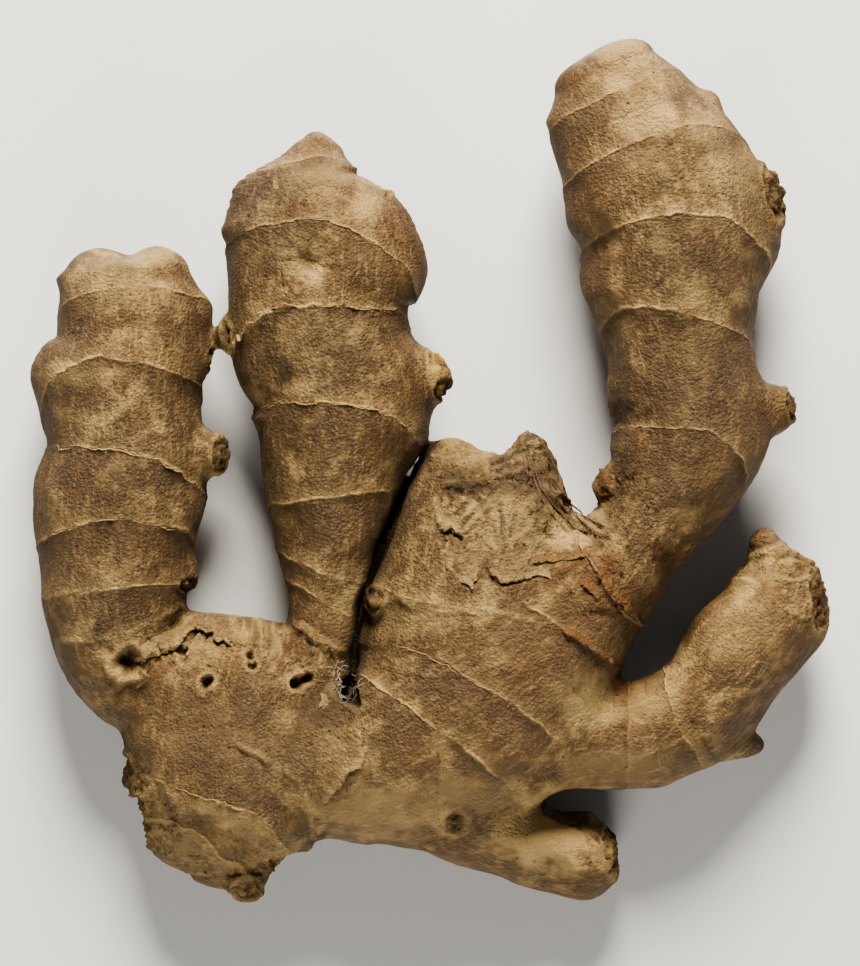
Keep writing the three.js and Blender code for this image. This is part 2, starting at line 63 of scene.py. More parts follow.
# The lobes, in the order that they are joined.
# Sections: x, y, half width left and right facing the tip, centre height, half height.
# Rings: place along the sections, lean over the top and to the left, height, raggedness.
LOBES = {
    "body": {
        "sections": [
            (-20, -47.5, 12, 11.4, 12, 10),
            (-9.5, -44.5, 13, 16.2, 13.5, 12),
            (3.5, -38.5, 16, 19, 14.4, 13.4),
            (15.5, -30, 16, 16, 14.2, 13.4),
            (26, -20.5, 12, 9.5, 14.2, 11.8),
            (34.5, -10, 7.9, 7.4, 14.5, 10),
            (40.2, -0.6, 12.2, 10.3, 14.4, 11.3),
            (42.4, 7.4, 12.4, 12.6, 14, 12),
            (41, 15.4, 12.7, 11.7, 13.8, 12),
            (39.7, 21.8, 11.7, 12.4, 13.7, 12),
            (39.5, 29, 15, 14, 13.5, 13.2),
            (39.4, 37, 15, 16.9, 13.4, 13.9),
            (38.1, 44.2, 16.8, 16, 13.4, 13.9),
            (36.2, 50.6, 15.8, 13.7, 13.8, 13),
            (34.2, 56.2, 15, 11.4, 14, 11.4),
            (32.8, 61, 15.1, 8.2, 14, 9.8),
            (31.2, 65, 11.8, 5.2, 14, 7.6),
        ],
        "root": 8,
        "tip": 4.2,
        "blend": 0,
        "rings": [
            (1.6, 2.8, -8, 0.45, 0.5),
            (2.04, 6.9, -7, 0.5, 0.4),
            (3.45, 1, -3.3, 0.35, 0.5),
            (4.4, -2.3, 2.7, 0.4, 1.2),
            (6.06, 6.9, 1.4, 0.75, 1.0),
            (8.4, 7.2, 3.4, 0.5, 0.7),
            (10.4, 8.3, 2.3, 0.45, 0.4),
            (12.66, 4.7, 0.5, 0.45, 0.3),
            (14.6, 2.2, -1.7, 0.3, 0.3),
        ],
    },
    "stump": {
        "sections": [
            (5.8, -28, 16, 14, 14, 12),
            (7.4, -19, 16.6, 15, 14, 12.4),
            (8.6, -10, 15, 14, 13.6, 11.2),
            (9, -3.5, 13.6, 13.3, 13.2, 9.6),
            (9, 1, 12, 11.4, 12.8, 7.4),
        ],
        "root": 6,
        "tip": 1.8,
        "blend": 5,
        "rings": [(0.6, 0, 2.2, 0.35, 1.0)],
    },
    "short_finger": {
        "sections": [
            (14.5, -44, 11, 9, 13, 11),
            (24.2, -41.5, 8.6, 9.2, 12, 9.4),
            (33.8, -40.8, 7.2, 10.2, 11.2, 8.8),
            (42.6, -36.6, 6.8, 10.6, 10.8, 9),
            (49.8, -29.4, 9.6, 9.1, 10.6, 9.4),
            (54.9, -22.2, 7.6, 9.9, 10.8, 9),
            (56.6, -17.4, 8.4, 7, 11, 7.4),
            (55.6, -13.4, 6.6, 2.4, 11, 4.8),
            (53.8, -10.8, 2.8, 2.1, 11, 2.6),
        ],
        "root": 6,
        "tip": 1.8,
        "blend": 3.5,
        "rings": [
            (1.83, -0.5, 1.1, 0.35, 0.4),
            (2.8, -2.2, 0.7, 0.35, 0.7),
            (7.4, -0.7, 1.4, 0.35, 0.6),
        ],
    },
    "lower_stub": {
        "sections": [
            (0, -51.4, 9, 9.2, 11.2, 9),
            (9.8, -57.6, 7, 7.1, 9, 8),
            (19.4, -61, 6.5, 6.9, 7, 7.5),
            (25.6, -62.3, 6.9, 7, 6.8, 6.5),
            (29.2, -62.2, 5, 4.4, 6.8, 5.4),
        ],
        "root": 6,
        "tip": 1.6,
        "blend": 3.5,
        "rings": [],
    },
    "base": {
        "sections": [
            (-27, -25.2, 14, 12, 10, 7.6),
            (-28, -30, 15, 16.5, 11, 9.6),
            (-30, -37, 16.6, 18.5, 11.6, 10.6),
            (-31, -43.5, 17, 18.2, 11.8, 11),
            (-31, -49.5, 17, 16.3, 11.6, 10.8),
            (-30.5, -55.5, 15, 14.7, 11, 9.8),
            (-30.8, -60.5, 9.4, 14.4, 10, 8),
            (-30.6, -64.5, 5, 8, 9.4, 5),
        ],
        "root": 1.2,
        "tip": 3.4,
        "blend": 4,
        "rings": [(5, -2.2, 7, 0.45, 0.8), (6.4, -0.4, 9, 0.4, 0.6)],
    },
    "left_finger": {
        "sections": [
            (-43.5, -38.5, 7, 9, 10.6, 8),
            (-48.5, -29.5, 10.8, 9.5, 11, 9.6),
            (-50.4, -20.5, 11.5, 11.6, 11.2, 10.6),
            (-50.2, -12.5, 12.5, 12.1, 11.3, 11.3),
            (-49.8, -4.5, 13.8, 14, 11.5, 12),
            (-48.8, 3.4, 12.4, 13, 11.6, 12),
            (-49.4, 9.8, 12.9, 12.7, 12, 11.8),
            (-49.4, 15.4, 14.2, 13.2, 12.5, 11.8),
            (-48.6, 20.5, 11.5, 13.8, 12.8, 11.5),
            (-48.6, 27.4, 10.6, 12.4, 13, 11),
            (-48.8, 31.4, 11.4, 10.2, 13, 9.6),
        ],
        "root": 4,
        "tip": 3,
        "blend": 1.6,
        "rings": [
            (2.15, 0.7, -0.9, 0.4, 0.4),
            (3, 4.6, -1, 0.5, 0.4),
            (4.56, 3.3, 2, 0.55, 0.5),
            (6.1, 7.2, -1.8, 0.5, 0.5),
            (8.75, 2.9, -0.5, 0.3, 0.4),
        ],
    },
    "middle_finger": {
        "sections": [
            (-18.2, -31, 5, 7.4, 12.4, 6.6),
            (-17.2, -22, 5.6, 8.2, 12.8, 7),
            (-16.3, -14.2, 7.9, 7.4, 13, 8.6),
            (-15.5, -6.2, 10.5, 9.5, 13.2, 10.2),
            (-14.6, 1, 12.8, 10.8, 13.4, 11.2),
            (-13.6, 7.4, 14.8, 13.5, 13.5, 12.2),
            (-14, 13, 14, 14.2, 13.6, 12.5),
            (-15.8, 19.4, 15.4, 13, 13.6, 12.5),
            (-17.1, 25.8, 14.9, 14.3, 13.6, 12.5),
            (-16.8, 32.2, 15.4, 16.4, 13.6, 12.8),
            (-16.8, 37.8, 15.4, 14.7, 13.6, 12.2),
            (-17.6, 42.4, 16.2, 10.8, 13.6, 10.6),
            (-18.6, 46.4, 13.1, 7, 13.6, 8.8),
            (-18.6, 49.8, 5.2, 7.2, 13.6, 6.2),
            (-17.8, 52.4, 2.2, 4.4, 13.6, 3.6),
        ],
        "root": 4,
        "tip": 1.8,
        "blend": 1.4,
        "rings": [
            (1.13, 0, 3.1, 0.5, 0.6),
            (1.96, -1.9, 1.4, 0.5, 0.6),
            (3.26, 0.1, -2.6, 0.5, 0.4),
            (5.14, 2.4, 3.1, 0.45, 0.4),
            (7.17, 5.7, 0.6, 0.85, 1.2),
            (8.84, 8.4, 4.2, 0.6, 0.6),
            (12.7, 1, -2.1, 0.3, 0.3),
        ],
    },
}

# Buds and knobs: x, y, z, half sizes.
BUD_BLEND = 2.2
BUDS = [
    (-52.6, 32, 13, 5, 3.6, 6),
    (-43.4, 32.4, 13, 4.2, 3.4, 6),
    (-37, 25.4, 13, 1.8, 2.4, 3.4),
    (-35.8, 2.8, 12.5, 3.4, 3.8, 4.4),
    (-38.8, -16.2, 12, 2, 2.6, 3),
    (-32, 21.6, 13.5, 2.2, 2.2, 3),
    (-0.4, 15, 14, 3.7, 4.4, 5),
    (-7.8, 43, 14, 1.8, 1.6, 3),
    (54.2, 43.4, 13.5, 2.6, 5, 4.4),
    (55, 9.8, 14, 3.6, 4, 4.6),
    (44.6, 59, 14, 1.8, 1.8, 2.6),
    (28.6, -2, 14, 1.6, 2.4, 3.4),
    (3.2, 2.4, 13, 4.6, 3, 5),
    (16.4, 3, 13, 2.8, 3.4, 4),
    (-9.2, -20, 19, 2.2, 2.2, 2.6),
    (49.4, -44.4, 7.4, 4.4, 2.4, 3),
    (-47.6, -49, 9, 1.8, 2.4, 3),
    (-44.2, -53.4, 9, 1.6, 2, 2.6),
    (-29.6, -67, 9, 1.8, 2.2, 2.2),
    (-21, -59.6, 9, 2, 1.6, 2.2),
]

# The crevice between the middle finger and the body, in plan, from its mouth to the base.
CREVICE = [(0.8, 4.8), (-4.2, -2.8), (-5.2, -7.4), (-7.4, -13), (-10.6, -20), (-11.6, -28), (-12.6, -35)]
CREVICE_HALF_WIDTH = 0.65
CREVICE_FLOOR = 12

# Where the lobes press on each other low down under the crevice.
WEB = [(-3.7, -1.6), (-5.2, -7.4), (-6.6, -11)]
WEB_HALF_WIDTH = 1.1
WEB_MIDDLE = 6.5
WEB_HALF_HEIGHT = 3

# Pits of roots and shoots: x, y, top (1) or underside (-1), radius, depth, rim height, knob in the middle.
PITS = [
    (-47.8, -30.4, 1, 2.3, 2.0, 0.9, 0),
    (-39.4, -28.6, 1, 1.1, 1.8, 0.4, 0),
    (-39.2, -29.8, 1, 0.8, 1.2, 0.2, 0),
    (-35.2, -33.4, 1, 1.15, 1.8, 0.5, 0.6),
    (-35.6, -34.6, 1, 0.9, 0.9, 0.2, 0),
    (-28.3, -29.4, 1, 0.8, 1.6, 0.3, 0.3),
    (-28.1, -30.8, 1, 0.8, 1.6, 0.3, 0),
    (-20.8, -33.7, 1, 1.3, 1.9, 0.35, 0.5),
    (-19.3, -33.1, 1, 1.1, 1.6, 0.3, 0),
    (-13.2, -34.8, 1, 1.9, 2.4, 0.2, 0),
    (-11.8, -36.4, 1, 1.2, 1.6, 0.2, 0),
    (4.2, -55.6, 1, 1.7, 1.2, 0.35, 1.2),
    (-19.4, 32.9, 1, 2.0, 0.7, 0, 0),
    (-6.5, 44, 1, 0.6, 0.8, 0.2, 0),
    (-28.6, 40.3, 1, 0.4, 0.5, 0.1, 0),
    (-29, -42, -1, 1.8, 1, 0.5, 0.4),
    (-22, -52, -1, 1.4, 1, 0.4, 0.4),
    (2, -40, -1, 2, 1.1, 0.5, 0.6),
    (14, -24, -1, 1.6, 1, 0.4, 0),
    (8, -12, -1, 1.4, 1, 0.4, 0.4),
    (40, 20, -1, 1.6, 0.9, 0.4, 0.4),
    (-16, 14, -1, 1.5, 0.9, 0.4, 0.3),
    (-50, 18, -1, 1.4, 0.9, 0.4, 0),
    (40, -36, -1, 1.5, 0.9, 0.4, 0.4),
]

# Crusty scars where shoots broke off: centre, half sizes, rim height, darkness, yellowness.
SCARS = [
    (54.8, 44.6, 15.5, 2.2, 5.2, 5, 0.55, 1, 0.1),
    (1.6, 17.6, 15, 1.8, 2.6, 5, 0.08, 0, 1.3),
    (1.9, 13.2, 15, 1.5, 2, 4, 0.3, 0.8, 0.7),
    (-33.4, 2.6, 14.5, 1.5, 2.8, 3.4, 0.5, 0.9, 0.2),
    (-31.8, 22, 14, 1.4, 2.4, 3, 0.4, 0.9, 0.2),
    (-34.6, 17.6, 14.5, 1, 2.2, 3, 0.3, 0.8, 0.2),
    (-7.4, 43.4, 15, 1.4, 1.2, 3, 0.3, 0.9, 0.2),
    (58, 10.8, 15, 1.6, 2.4, 4, 0.4, 0.8, 0.3),
    (62.4, -20.4, 14, 2.0, 5.0, 6, 0.25, 0.35, 0.2),
    (57.6, -15.4, 15, 3.4, 2.2, 4, 0.3, 0.5, 0.4),
    (28.2, -1.4, 15, 1.4, 2.2, 4, 0.12, 0.3, 0.15),
    (-48.2, -48.4, 11, 1.6, 3, 5, 0.6, 0.8, 0.5),
    (-45.6, -53.4, 11, 1.6, 2.6, 5, 0.6, 0.8, 0.5),
    (-46.4, -58.6, 10, 1.6, 2.2, 5, 0.5, 0.7, 0.4),
    (-29.4, -66.6, 11, 2.2, 2.2, 4, 0.6, 0.8, 0.5),
    (-22, -62, 12, 4.4, 1.7, 4, 0.5, 0.6, 0.3),
    (-9, -20.6, 20.5, 1.9, 1.8, 3, 0.5, 0.4, 0.4),
    (29.6, -60.6, 8, 1.8, 4.6, 6, 0.3, 0.6, 0.3),
    (44.6, -45, 7, 5.6, 1.5, 4, 0.3, 0.9, 0),
    (0, -55.5, 4, 2, 2, 4, 0.3, 0.6, 0.2),
    (-38.2, -18.2, 15, 2, 1.2, 3, 0.3, 0.8, 0.2),
    (4.6, 3.6, 17, 4, 1.6, 3, 0.3, 0.2, 0.5),
]

# Bands of torn or pleated fibres on the top:
# half width, spacing, height, darkness (painted shade in the troughs between the fibres), paleness, points
# along them.
BANDS = [
    (1.5, 0.7, 0.55, 0.85, 0.15, [(16.6, 5.2), (13.8, 3.4), (10.8, 2.0)]),
    (2.0, 0.75, 0.5, 0.75, 0.2, [(16, 3.2), (13, 0.2), (10.4, -2.4)]),
    (1.4, 0.6, 0.4, 0.6, 0.3, [(16.4, 1.6), (16.6, -2.6), (17.6, -6.6), (19.6, -9.8)]),
    (1.2, 0.8, 0.4, 0.6, 0.2, [(1.4, -1.2), (5, -1.8), (8.4, -4.4)]),
    (1.7, 0.62, 0.6, 0.85, 0.25, [(16.6, 5), (17.4, 0.6), (19.6, -4), (22.4, -8), (25.6, -10.8)]),
    (1.2, 0.55, 0.45, 0.6, 0.3, [(19.4, 1.6), (21.4, -3), (24.6, -7), (28.4, -9.6)]),
    (0.9, 0.6, 0.5, 0.9, 0, [(11.2, 1.8), (13.8, 2.8), (16.8, 3.4)]),
    (1.0, 0.7, 0.45, 0.85, 0, [(2.6, -3.2), (6.4, -3.2), (10, -1.8), (12.4, -1.2)]),
    (1.3, 0.7, 0.45, 0.7, 0.1, [(10.6, -0.4), (13.4, -1.6), (16.6, -2.6)]),
    (0.8, 0.45, 0.3, 0.4, 0.4, [(2.4, -11.2), (2.8, -16.6)]),
    (0.9, 0.45, 0.3, 0.5, 0.3, [(4.2, -12.2), (5.2, -18.6)]),
    (1.8, 1.0, 0.4, 0.35, 0.35, [(-30.6, -23.9), (-30.2, -27.4)]),
    (1.8, 1.0, 0.4, 0.35, 0.35, [(-27.4, -23.9), (-27, -28.2)]),
    (1.8, 1.0, 0.35, 0.3, 0.35, [(-24.2, -23.9), (-23.8, -27.6)]),
    (1.3, 0.6, 0.35, 0.5, 0.1, [(-20.4, -24.4), (-17.4, -27.4), (-14.8, -31.4)]),
    (1.5, 0.6, 0.3, 0.5, 0.2, [(26.6, 0.6), (28.6, -4.6), (30.4, -8.6)]),
    (2.2, 0.8, 0.16, 0.2, 0.2, [(-47.6, -47), (-46, -56), (-42, -62)]),
    (1.4, 0.7, 0.3, 0.5, 0.2, [(-30, -65), (-25, -63), (-19, -60)]),
]

# Lines on the top of the skin:
# height (negative is a groove), half width, darkness (painted shadow in the grooves and under torn edges and
# flaps), paleness, redness, points along them.
LINES = [
    (0.7, 0.5, 0.2, 0.6, 0, [(-46.4, -29.9), (-43.8, -28.5), (-41.1, -27.8), (-40.2, -26.7), (-37.1, -24.5),
                            (-35, -25.1), (-33.1, -26.6), (-31, -27.4), (-29.1, -27.7)]),
    (-0.5, 0.3, 1, 0, 0, [(-46, -30.6), (-43.8, -29.2), (-41, -28.5), (-39.8, -27.5), (-37.1, -25.2),
                         (-35, -25.7), (-33.1, -27.2), (-31, -28)]),
    (0.35, 0.35, 0, 0.5, 0, [(-31.5, -24.2), (-30.9, -26.1), (-30.2, -27.2)]),
    (0.35, 0.35, 0, 0.5, 0, [(-29.4, -24.2), (-29.1, -26.1), (-28.6, -27.5)]),
    (0.35, 0.35, 0, 0.5, 0, [(-27.2, -24), (-26.7, -25.8), (-26.6, -27.7)]),
    (0.35, 0.35, 0, 0.5, 0, [(-25.1, -24.2), (-24.8, -25.8), (-24.6, -27)]),
    (0.3, 0.3, 0, 0.4, 0, [(-23.4, -24), (-23, -25.4), (-22.9, -26.7)]),
    (0.3, 0.45, 0, 0.35, 0, [(-30.9, -42.9), (-28.6, -44.2), (-25.8, -45.9)]),
    (-0.25, 0.3, 0.7, 0, 0, [(-30.4, -43.8), (-28.6, -44.9), (-25.6, -46.6)]),
    (0.25, 0.35, 0.25, 0.25, 0.2, [(-11.4, -38.7), (-12.6, -41.1), (-15, -44.6), (-17.8, -48.2),
                                  (-18.4, -50.7), (-16.8, -53.1), (-14.2, -51.4), (-13.8, -49.4),
                                  (-12.8, -47.4), (-9.9, -46.7)]),
    (-0.6, 0.3, 1, 0, 0, [(11.2, -5.4), (11.5, -7.8), (11.7, -11), (11.7, -13)]),
    (0.5, 0.4, 0.2, 0.5, 0, [(11, -3.4), (8.2, -6.6), (5.1, -10.2)]),
    (-0.45, 0.4, 0.8, 0, 0, [(10.2, -3.3), (7.4, -6.2), (5.2, -8.6)]),
    (-0.5, 0.5, 0.8, 0, 0, [(4.2, -3.2), (6.6, -3.4), (9.4, -2.5)]),
    (0.45, 0.4, 0.1, 0.5, 0, [(1.1, -5.1), (1.9, -8.8), (3.7, -9), (4.8, -10.1)]),
    (-0.5, 0.3, 0.9, 0, 0, [(1.9, -9.5), (3.4, -9.6), (4.9, -10.8)]),
    (0.3, 0.3, 0.5, 0.2, 0.2, [(4.2, -14.2), (4.6, -18.2), (7, -18.6), (7.8, -15.8), (9.1, -13)]),
    (-0.3, 0.3, 0.8, 0, 0, [(9.1, -15.5), (10.1, -17.1), (11.7, -17.9), (13.8, -17.5), (16.2, -16.8),
                           (18.6, -17.1)]),
    (-0.6, 0.4, 0.7, 0, 0, [(16.5, 0.2), (17.8, -3), (20.2, -6.2), (23.4, -9.4), (28.2, -10.7)]),
    (0.5, 0.35, 0, 0.4, 0, [(17.2, 0.6), (18.8, -3.2), (21.4, -6.9), (25.6, -10.4)]),
    (-0.5, 0.35, 0.6, 0, 0, [(17.8, 1), (19.7, -3.4), (22.6, -7.5), (27.4, -11.8)]),
    (0.5, 0.35, 0, 0.4, 0, [(18.6, 1.8), (20.4, -2.4), (22.4, -6), (26.6, -10.2)]),
    (-0.5, 0.35, 0.6, 0, 0, [(19, 2.6), (21, -1.4), (22.2, -4.6), (25.8, -8.6)]),
    (-0.45, 0.35, 0.6, 0, 0, [(15.4, 3.4), (16.6, -0.6), (17.9, -4.6), (19.8, -7.4)]),
    (-0.6, 0.4, 1, 0, 0, [(11.4, 2), (13.8, 2.9), (16.5, 3.9), (18.2, 3.4)]),
    (0.4, 0.6, 0.1, 0.5, 0, [(-9.4, -20.3), (-7, -21), (-4.6, -20), (-2.7, -21.3)]),
    (0.3, 0.4, 0, 0.9, 0, [(50.4, -14), (53.6, -13), (57.3, -11.7)]),
    (-0.3, 0.3, 0.8, 0, 0.3, [(50.8, -12.8), (53.6, -11.8), (56.4, -10.8)]),
    (0.2, 0.3, 0, 0.7, 0.2, [(51.2, -11.4), (53.4, -10.6), (55.4, -10)]),
    (0.25, 0.5, 0.1, 0.4, 0, [(-2.7, -23.8), (1.8, -22.2), (6.6, -21.8), (11.4, -22.4), (15.8, -23.5),
                             (19.5, -24.2)]),
    (0.35, 0.35, 0.1, 0.2, 0.8, [(20.8, -25), (23, -25.8), (25.3, -27.5), (27.8, -29.8), (30.2, -31.5)]),
    (0.45, 0.4, 0.3, 0, 1, [(18.6, -17.4), (22.6, -15.2), (25.1, -13.6), (26.1, -15.2), (28.2, -18.7),
                           (29.3, -20), (31.7, -22.9), (33.8, -24.6)]),
    (0.3, 0.4, 0.3, 0, 1, [(27.5, -18.7), (25.8, -20.2), (27.4, -21.8)]),
    (0.3, 0.35, 0.1, 0.5, 0, [(-23, -47.5), (-21.9, -48.2), (-20.5, -49.4), (-19.4, -51.8), (-18.7, -56.2)]),
    (0.2, 0.4, 0, 0.4, 0, [(-58.7, -27), (-53.4, -27), (-47.8, -25.8), (-43, -23.5), (-39.8, -21.6)]),
    (-0.3, 0.35, 0.6, 0, 0, [(41.8, -39.8), (44.2, -43.8), (46.6, -47)]),
    (0.6, 0.7, 0.6, 0.2, 0, [(-30.2, -66.2), (-26.7, -63.8), (-23, -62.6), (-19, -59.8)]),
    (0.45, 0.5, 0.2, 0.4, 0.3, [(-21.3, -23.8), (-17.8, -26.7), (-15.8, -28.3), (-13.8, -28.6)]),
]

# Soft patches on the top: x, y, radii along x and y, then how red, papery, pale, dark and crusty. The pale
# and dark shares are partly the skin's own tone and partly painted light on lit tips and edges and painted
# shade on shaded lower parts.
PATCHES = [
    (-20.6, 41, 3, 2, 0.5, 0, 0, 0, 0),
    (-19.5, 32.6, 4.2, 4.2, 0, 0.4, 0.6, 0, 0.1),
    (-19.4, 33.2, 1.7, 1.5, 0, 0.3, 0, 0.6, 0),
    (30.2, 62, 3.2, 3.4, 0, 0.2, 0.7, 0, 0.1),
    (29.2, 35.8, 1.5, 1.8, 0, 0.3, 0.6, 0, 0),
    (41.6, 27, 4, 2.6, 0, 0, 0.5, 0, 0.1),
    (33.6, 48, 4.6, 3.4, 0, 0.3, 0.2, 0, 0),
    (50.8, 36.8, 1.4, 1.6, 0.2, 0, 0.3, 0.3, 0.5),
    (44, 54, 5, 4, 0.1, 0, 0.4, 0, 0),
    (36.8, -13.2, 2, 1.6, 1, 0, 0, 0.3, 0.4),
    (31, -34.6, 2, 2, 1, 0, 0, 0, 0.2),
    (36, -36, 5, 4, 0.1, 0, 0.5, 0, 0.1),
    (8, 3, 6, 2.2, 0.2, 0, 0.5, 0, 0.4),
    (22, -4, 3, 5, 0, 0.2, 0.5, 0, 0.1),
    (12, -6, 2, 3, 0.1, 0.7, 0.5, 0, 0),
    (29.4, -20.4, 3.5, 3, 0.5, 0, 0, 0.2, 0.2),
    (32.2, -20.6, 3, 4.5, 0.6, 0, 0, 0.25, 0.1),
    (31.4, -34.2, 4, 4, 0.35, 0, 0, 0, 0),
    (37.8, -13.4, 3.5, 3, 0.6, 0, 0, 0.2, 0.2),
    (55, -15.6, 4.6, 2.6, 0, 0.2, 0.7, 0, 0.1),
    (53.2, -10.6, 2.6, 1.8, 0.35, 0, 0.3, 0.3, 0.1),
    (28.4, -1.6, 2, 3, 0.7, 0, 0, 0.2, 0.1),
    (28.4, -16.4, 3, 3, 0.7, 0, 0, 0.15, 0.1),
    (31.6, -20.8, 2, 4, 0.9, 0, 0, 0.2, 0.1),
    (27.4, -17.6, 4.5, 2.6, 0.5, 0, 0, 0.2, 0.2),
    (63, -20.6, 2.4, 4.5, 0.2, 0, 0, 0.5, 0.8),
    (-14.6, -44.6, 3.6, 5.5, 0.1, 0.9, 0.1, 0, 0.1),
    (7, -6, 1.6, 1.4, 0, 0.7, 0.6, 0, 0),
    (15, -9, 4, 4, 0.05, 0.9, 0.2, 0.1, 0.3),
    (4.6, -0.6, 3.4, 1.8, 0, 0, 0, 0.7, 0.8),
    (10.4, -3.2, 3.4, 1.6, 0, 0, 0, 0.6, 0.8),
    (17.4, -6, 1.8, 4, 0, 0, 0, 0.5, 0.8),
    (6.8, -14.4, 2.6, 3.6, 0, 0.8, 0.1, 0, 0.3),
    (12.4, -14.6, 3.4, 2.6, 0, 0.8, 0, 0, 0.3),
    (26.5, -7.4, 3, 3, 0, 0.7, 0.4, 0, 0.6),
    (6.6, -2.6, 5, 2, 0, 0, 0, 0.9, 0.8),
    (16, -1.4, 3.4, 3, 0, 0, 0, 0.75, 0.9),
    (19, 1, 2, 4, 0.1, 0, 0, 0.5, 1),
    (4, 2.4, 5, 3, 0.1, 0, 0.3, 0, 0.6),
    (-12.4, -34.4, 3, 3, 0, 0, 0, 1, 0.8),
    (-16, -29.5, 4, 3, 0.2, 0, 0.3, 0.1, 0.5),
    (54.8, 44.6, 2, 5, 0, 0.2, 0.2, 0.4, 1),
    (57.4, 10.9, 2, 2.4, 0.1, 0, 0.3, 0.3, 0.7),
    (1.4, 15.4, 1.8, 3, 0.3, 0, 0.8, 0, 0.2),
    (-33.4, 2.7, 1.8, 2.4, 0.1, 0, 0.1, 0.4, 0.6),
    (-33, 21.6, 1.6, 1.8, 0, 0, 0, 0.8, 0.5),
    (-46.6, -50, 2.6, 5, 0.1, 0, 0.3, 0.3, 0.9),
    (-29, -66, 8, 3, 0.1, 0, 0.2, 0.3, 0.8),
    (-38, -64, 7, 4, 0, 0.2, 0.1, 0.1, 0.6),
    (-9.2, -20.4, 2.4, 2, 0.3, 0, 0.3, 0, 0.7),
    (-35, -27.5, 9, 4, 0.1, 0, 0.35, 0, 0.2),
    (28, -60.5, 4, 5, 0, 0.2, 0.1, 0.1, 0.5),
    (4.2, -55.6, 3, 3, 0.1, 0, 0, 0.25, 0.3),
    (-52, 33, 4, 2, 0, 0, 0.25, 0, 0.1),
    (33, 62, 9, 4, 0, 0, 0.35, 0, 0.1),
    (42, 22, 6, 5, 0, 0, 0.2, 0, 0.1),
    (-30, -44, 15, 8, 0, 0.6, 0, 0.25, 0.35),
    (-16, 3, 9, 17, 0, 0, 0, 0.16, 0),
    (34, 4, 8, 10, 0.15, 0, 0, 0.1, 0),
    (16, -8, 9, 6, 0, 0.4, 0.35, 0, 0),
    (50, -24, 8, 8, 0, 0, 0.25, 0, 0),
    (24, -54, 6, 6, 0, 0.2, 0.3, 0, 0),
    (-50, 30, 8, 5, 0, 0, 0.3, 0, 0),
    (-17, 46, 6, 5, 0, 0.3, 0.2, 0, 0),
    (42, 14, 10, 14, 0.2, 0, 0, 0.6, 0),
    (39, -1, 8, 6, 0.25, 0, 0, 0.65, 0),
    (39, 32, 9, 6, 0, 0, 0, 0.4, 0),
    (-49, -4, 12, 9, 0, 0, 0, 0.4, 0),
    (-50, -18, 12, 10, 0, 0, 0, 0.25, 0),
    (-48, -26, 9, 4, 0, 0, 0, 0.6, 0.1),
    (-17, 19, 12, 7, 0, 0, 0, 0.42, 0),
    (-19, -1, 9, 17, 0, 0, 0, 0.25, 0),
    (-24, 38, 9, 8, 0, 0, 0, 0.36, 0),
    (-16, -37, 6, 5, 0, 0, 0, 0.65, 0.3),
    (-34, -38, 12, 6, 0, 0, 0, 0.4, 0),
    (6, -35, 13, 7, 0, 0, 0, 0.34, 0),
    (22, -24, 6, 6, 0.25, 0, 0, 0.3, 0),
    (56, -11, 3, 3, 0.2, 0, 0, 0.3, 0.1),
    (26.4, -36.6, 5, 5.4, 0, 0, 1.1, 0, 0.1),
    (20, -57, 11, 8, 0, 0.2, 1.2, 0, 0),
    (-32, -60, 12, 7, 0, 0, 0.5, 0, 0.1),
    (-46, -54, 5, 8, 0, 0, 1, 0, 0.2),
    (35, 56, 5, 4, 0, 0.2, 0.7, 0, 0),
    (31, 66.6, 6, 3, 0, 0, 0.6, 0, 0),
    (21, -9.6, 4, 5, 0, 0.3, 1, 0, 0),
    (-8, -54, 12, 5, 0, 0, 0.6, 0, 0),
    (4, -51, 14, 4, 0, 0, 0.5, 0, 0),
    (30, -47, 16, 3, 0, 0, 0.35, 0, 0),
    (-44, 34, 6, 2.6, 0, 0, 0.6, 0, 0),
    (-55, 15.4, 7, 2, 0, 0, 0.5, 0, 0),
    (-8, -23.4, 12, 3, 0, 0, 0.35, 0, 0),
    (38, -30, 5, 3, 0, 0, 1, 0, 0),
    (50, -17, 3, 5, 0, 0, 1, 0, 0),
    (-10, 43, 3, 4, 0, 0, 0.6, 0, 0),
    (48, 48, 7, 5, 0, 0, 0.4, 0, 0),
]

# Places where the skin is torn into thin layers: x, y, radii along x and y, share.
TORN = [
    (9, -9.5, 9.5, 9, 1),
    (21, -9, 7, 7, 0.8),
    (27, -18.6, 5.5, 5, 1),
    (-36, -28, 11, 4.5, 0.9),
    (-21, -29.5, 6, 5, 0.9),
    (-14.4, -46, 4.5, 8, 0.5),
    (32, -4.4, 5, 5, 0.7),
    (38, -12.6, 5, 4, 0.6),
    (-44, -55, 5, 8, 0.8),
    (-30, -62, 9, 4, 0.8),
    (60, -19, 5, 6, 0.7),
    (27, -60, 4, 5, 0.7),
    (31.4, 9, 5, 3, 0.5),
]

# Soft dents and bumps of the top: x, y, radius, height.
DENTS = [
    (37.8, 21, 2.6, -0.7),
    (29.3, 36.2, 2.2, -0.5),
    (28.2, -2.2, 2.2, 0.5),
    (-19.4, 33.4, 2.8, -1.2),
    (-18.6, 29.6, 1.6, 0.6),
    (-21.8, 31, 1.1, 0.4),
    (-16.4, 34.6, 1.5, 0.4),
    (46, 30, 4, -0.4),
    (-52, 10, 4, -0.3),
    (-38, -40, 4, -0.4),
    (-26, -36, 3, 0.4),
    (20, -38, 4, -0.4),
]

# Wrinkles that spread from a point: x, y, radius, height, number of rays.
STARS = [
    (-19.4, 33, 3.0, 0.28, 9),
    (-19.2, 32.6, 5.2, 0.16, 16),
    (37.6, 21, 3.4, 0.14, 9),
    (39.6, 26, 2.6, 0.12, 8),
    (-47.8, -30.4, 3.4, 0.12, 9),
    (33.4, 48.6, 3.6, 0.1, 9),
]

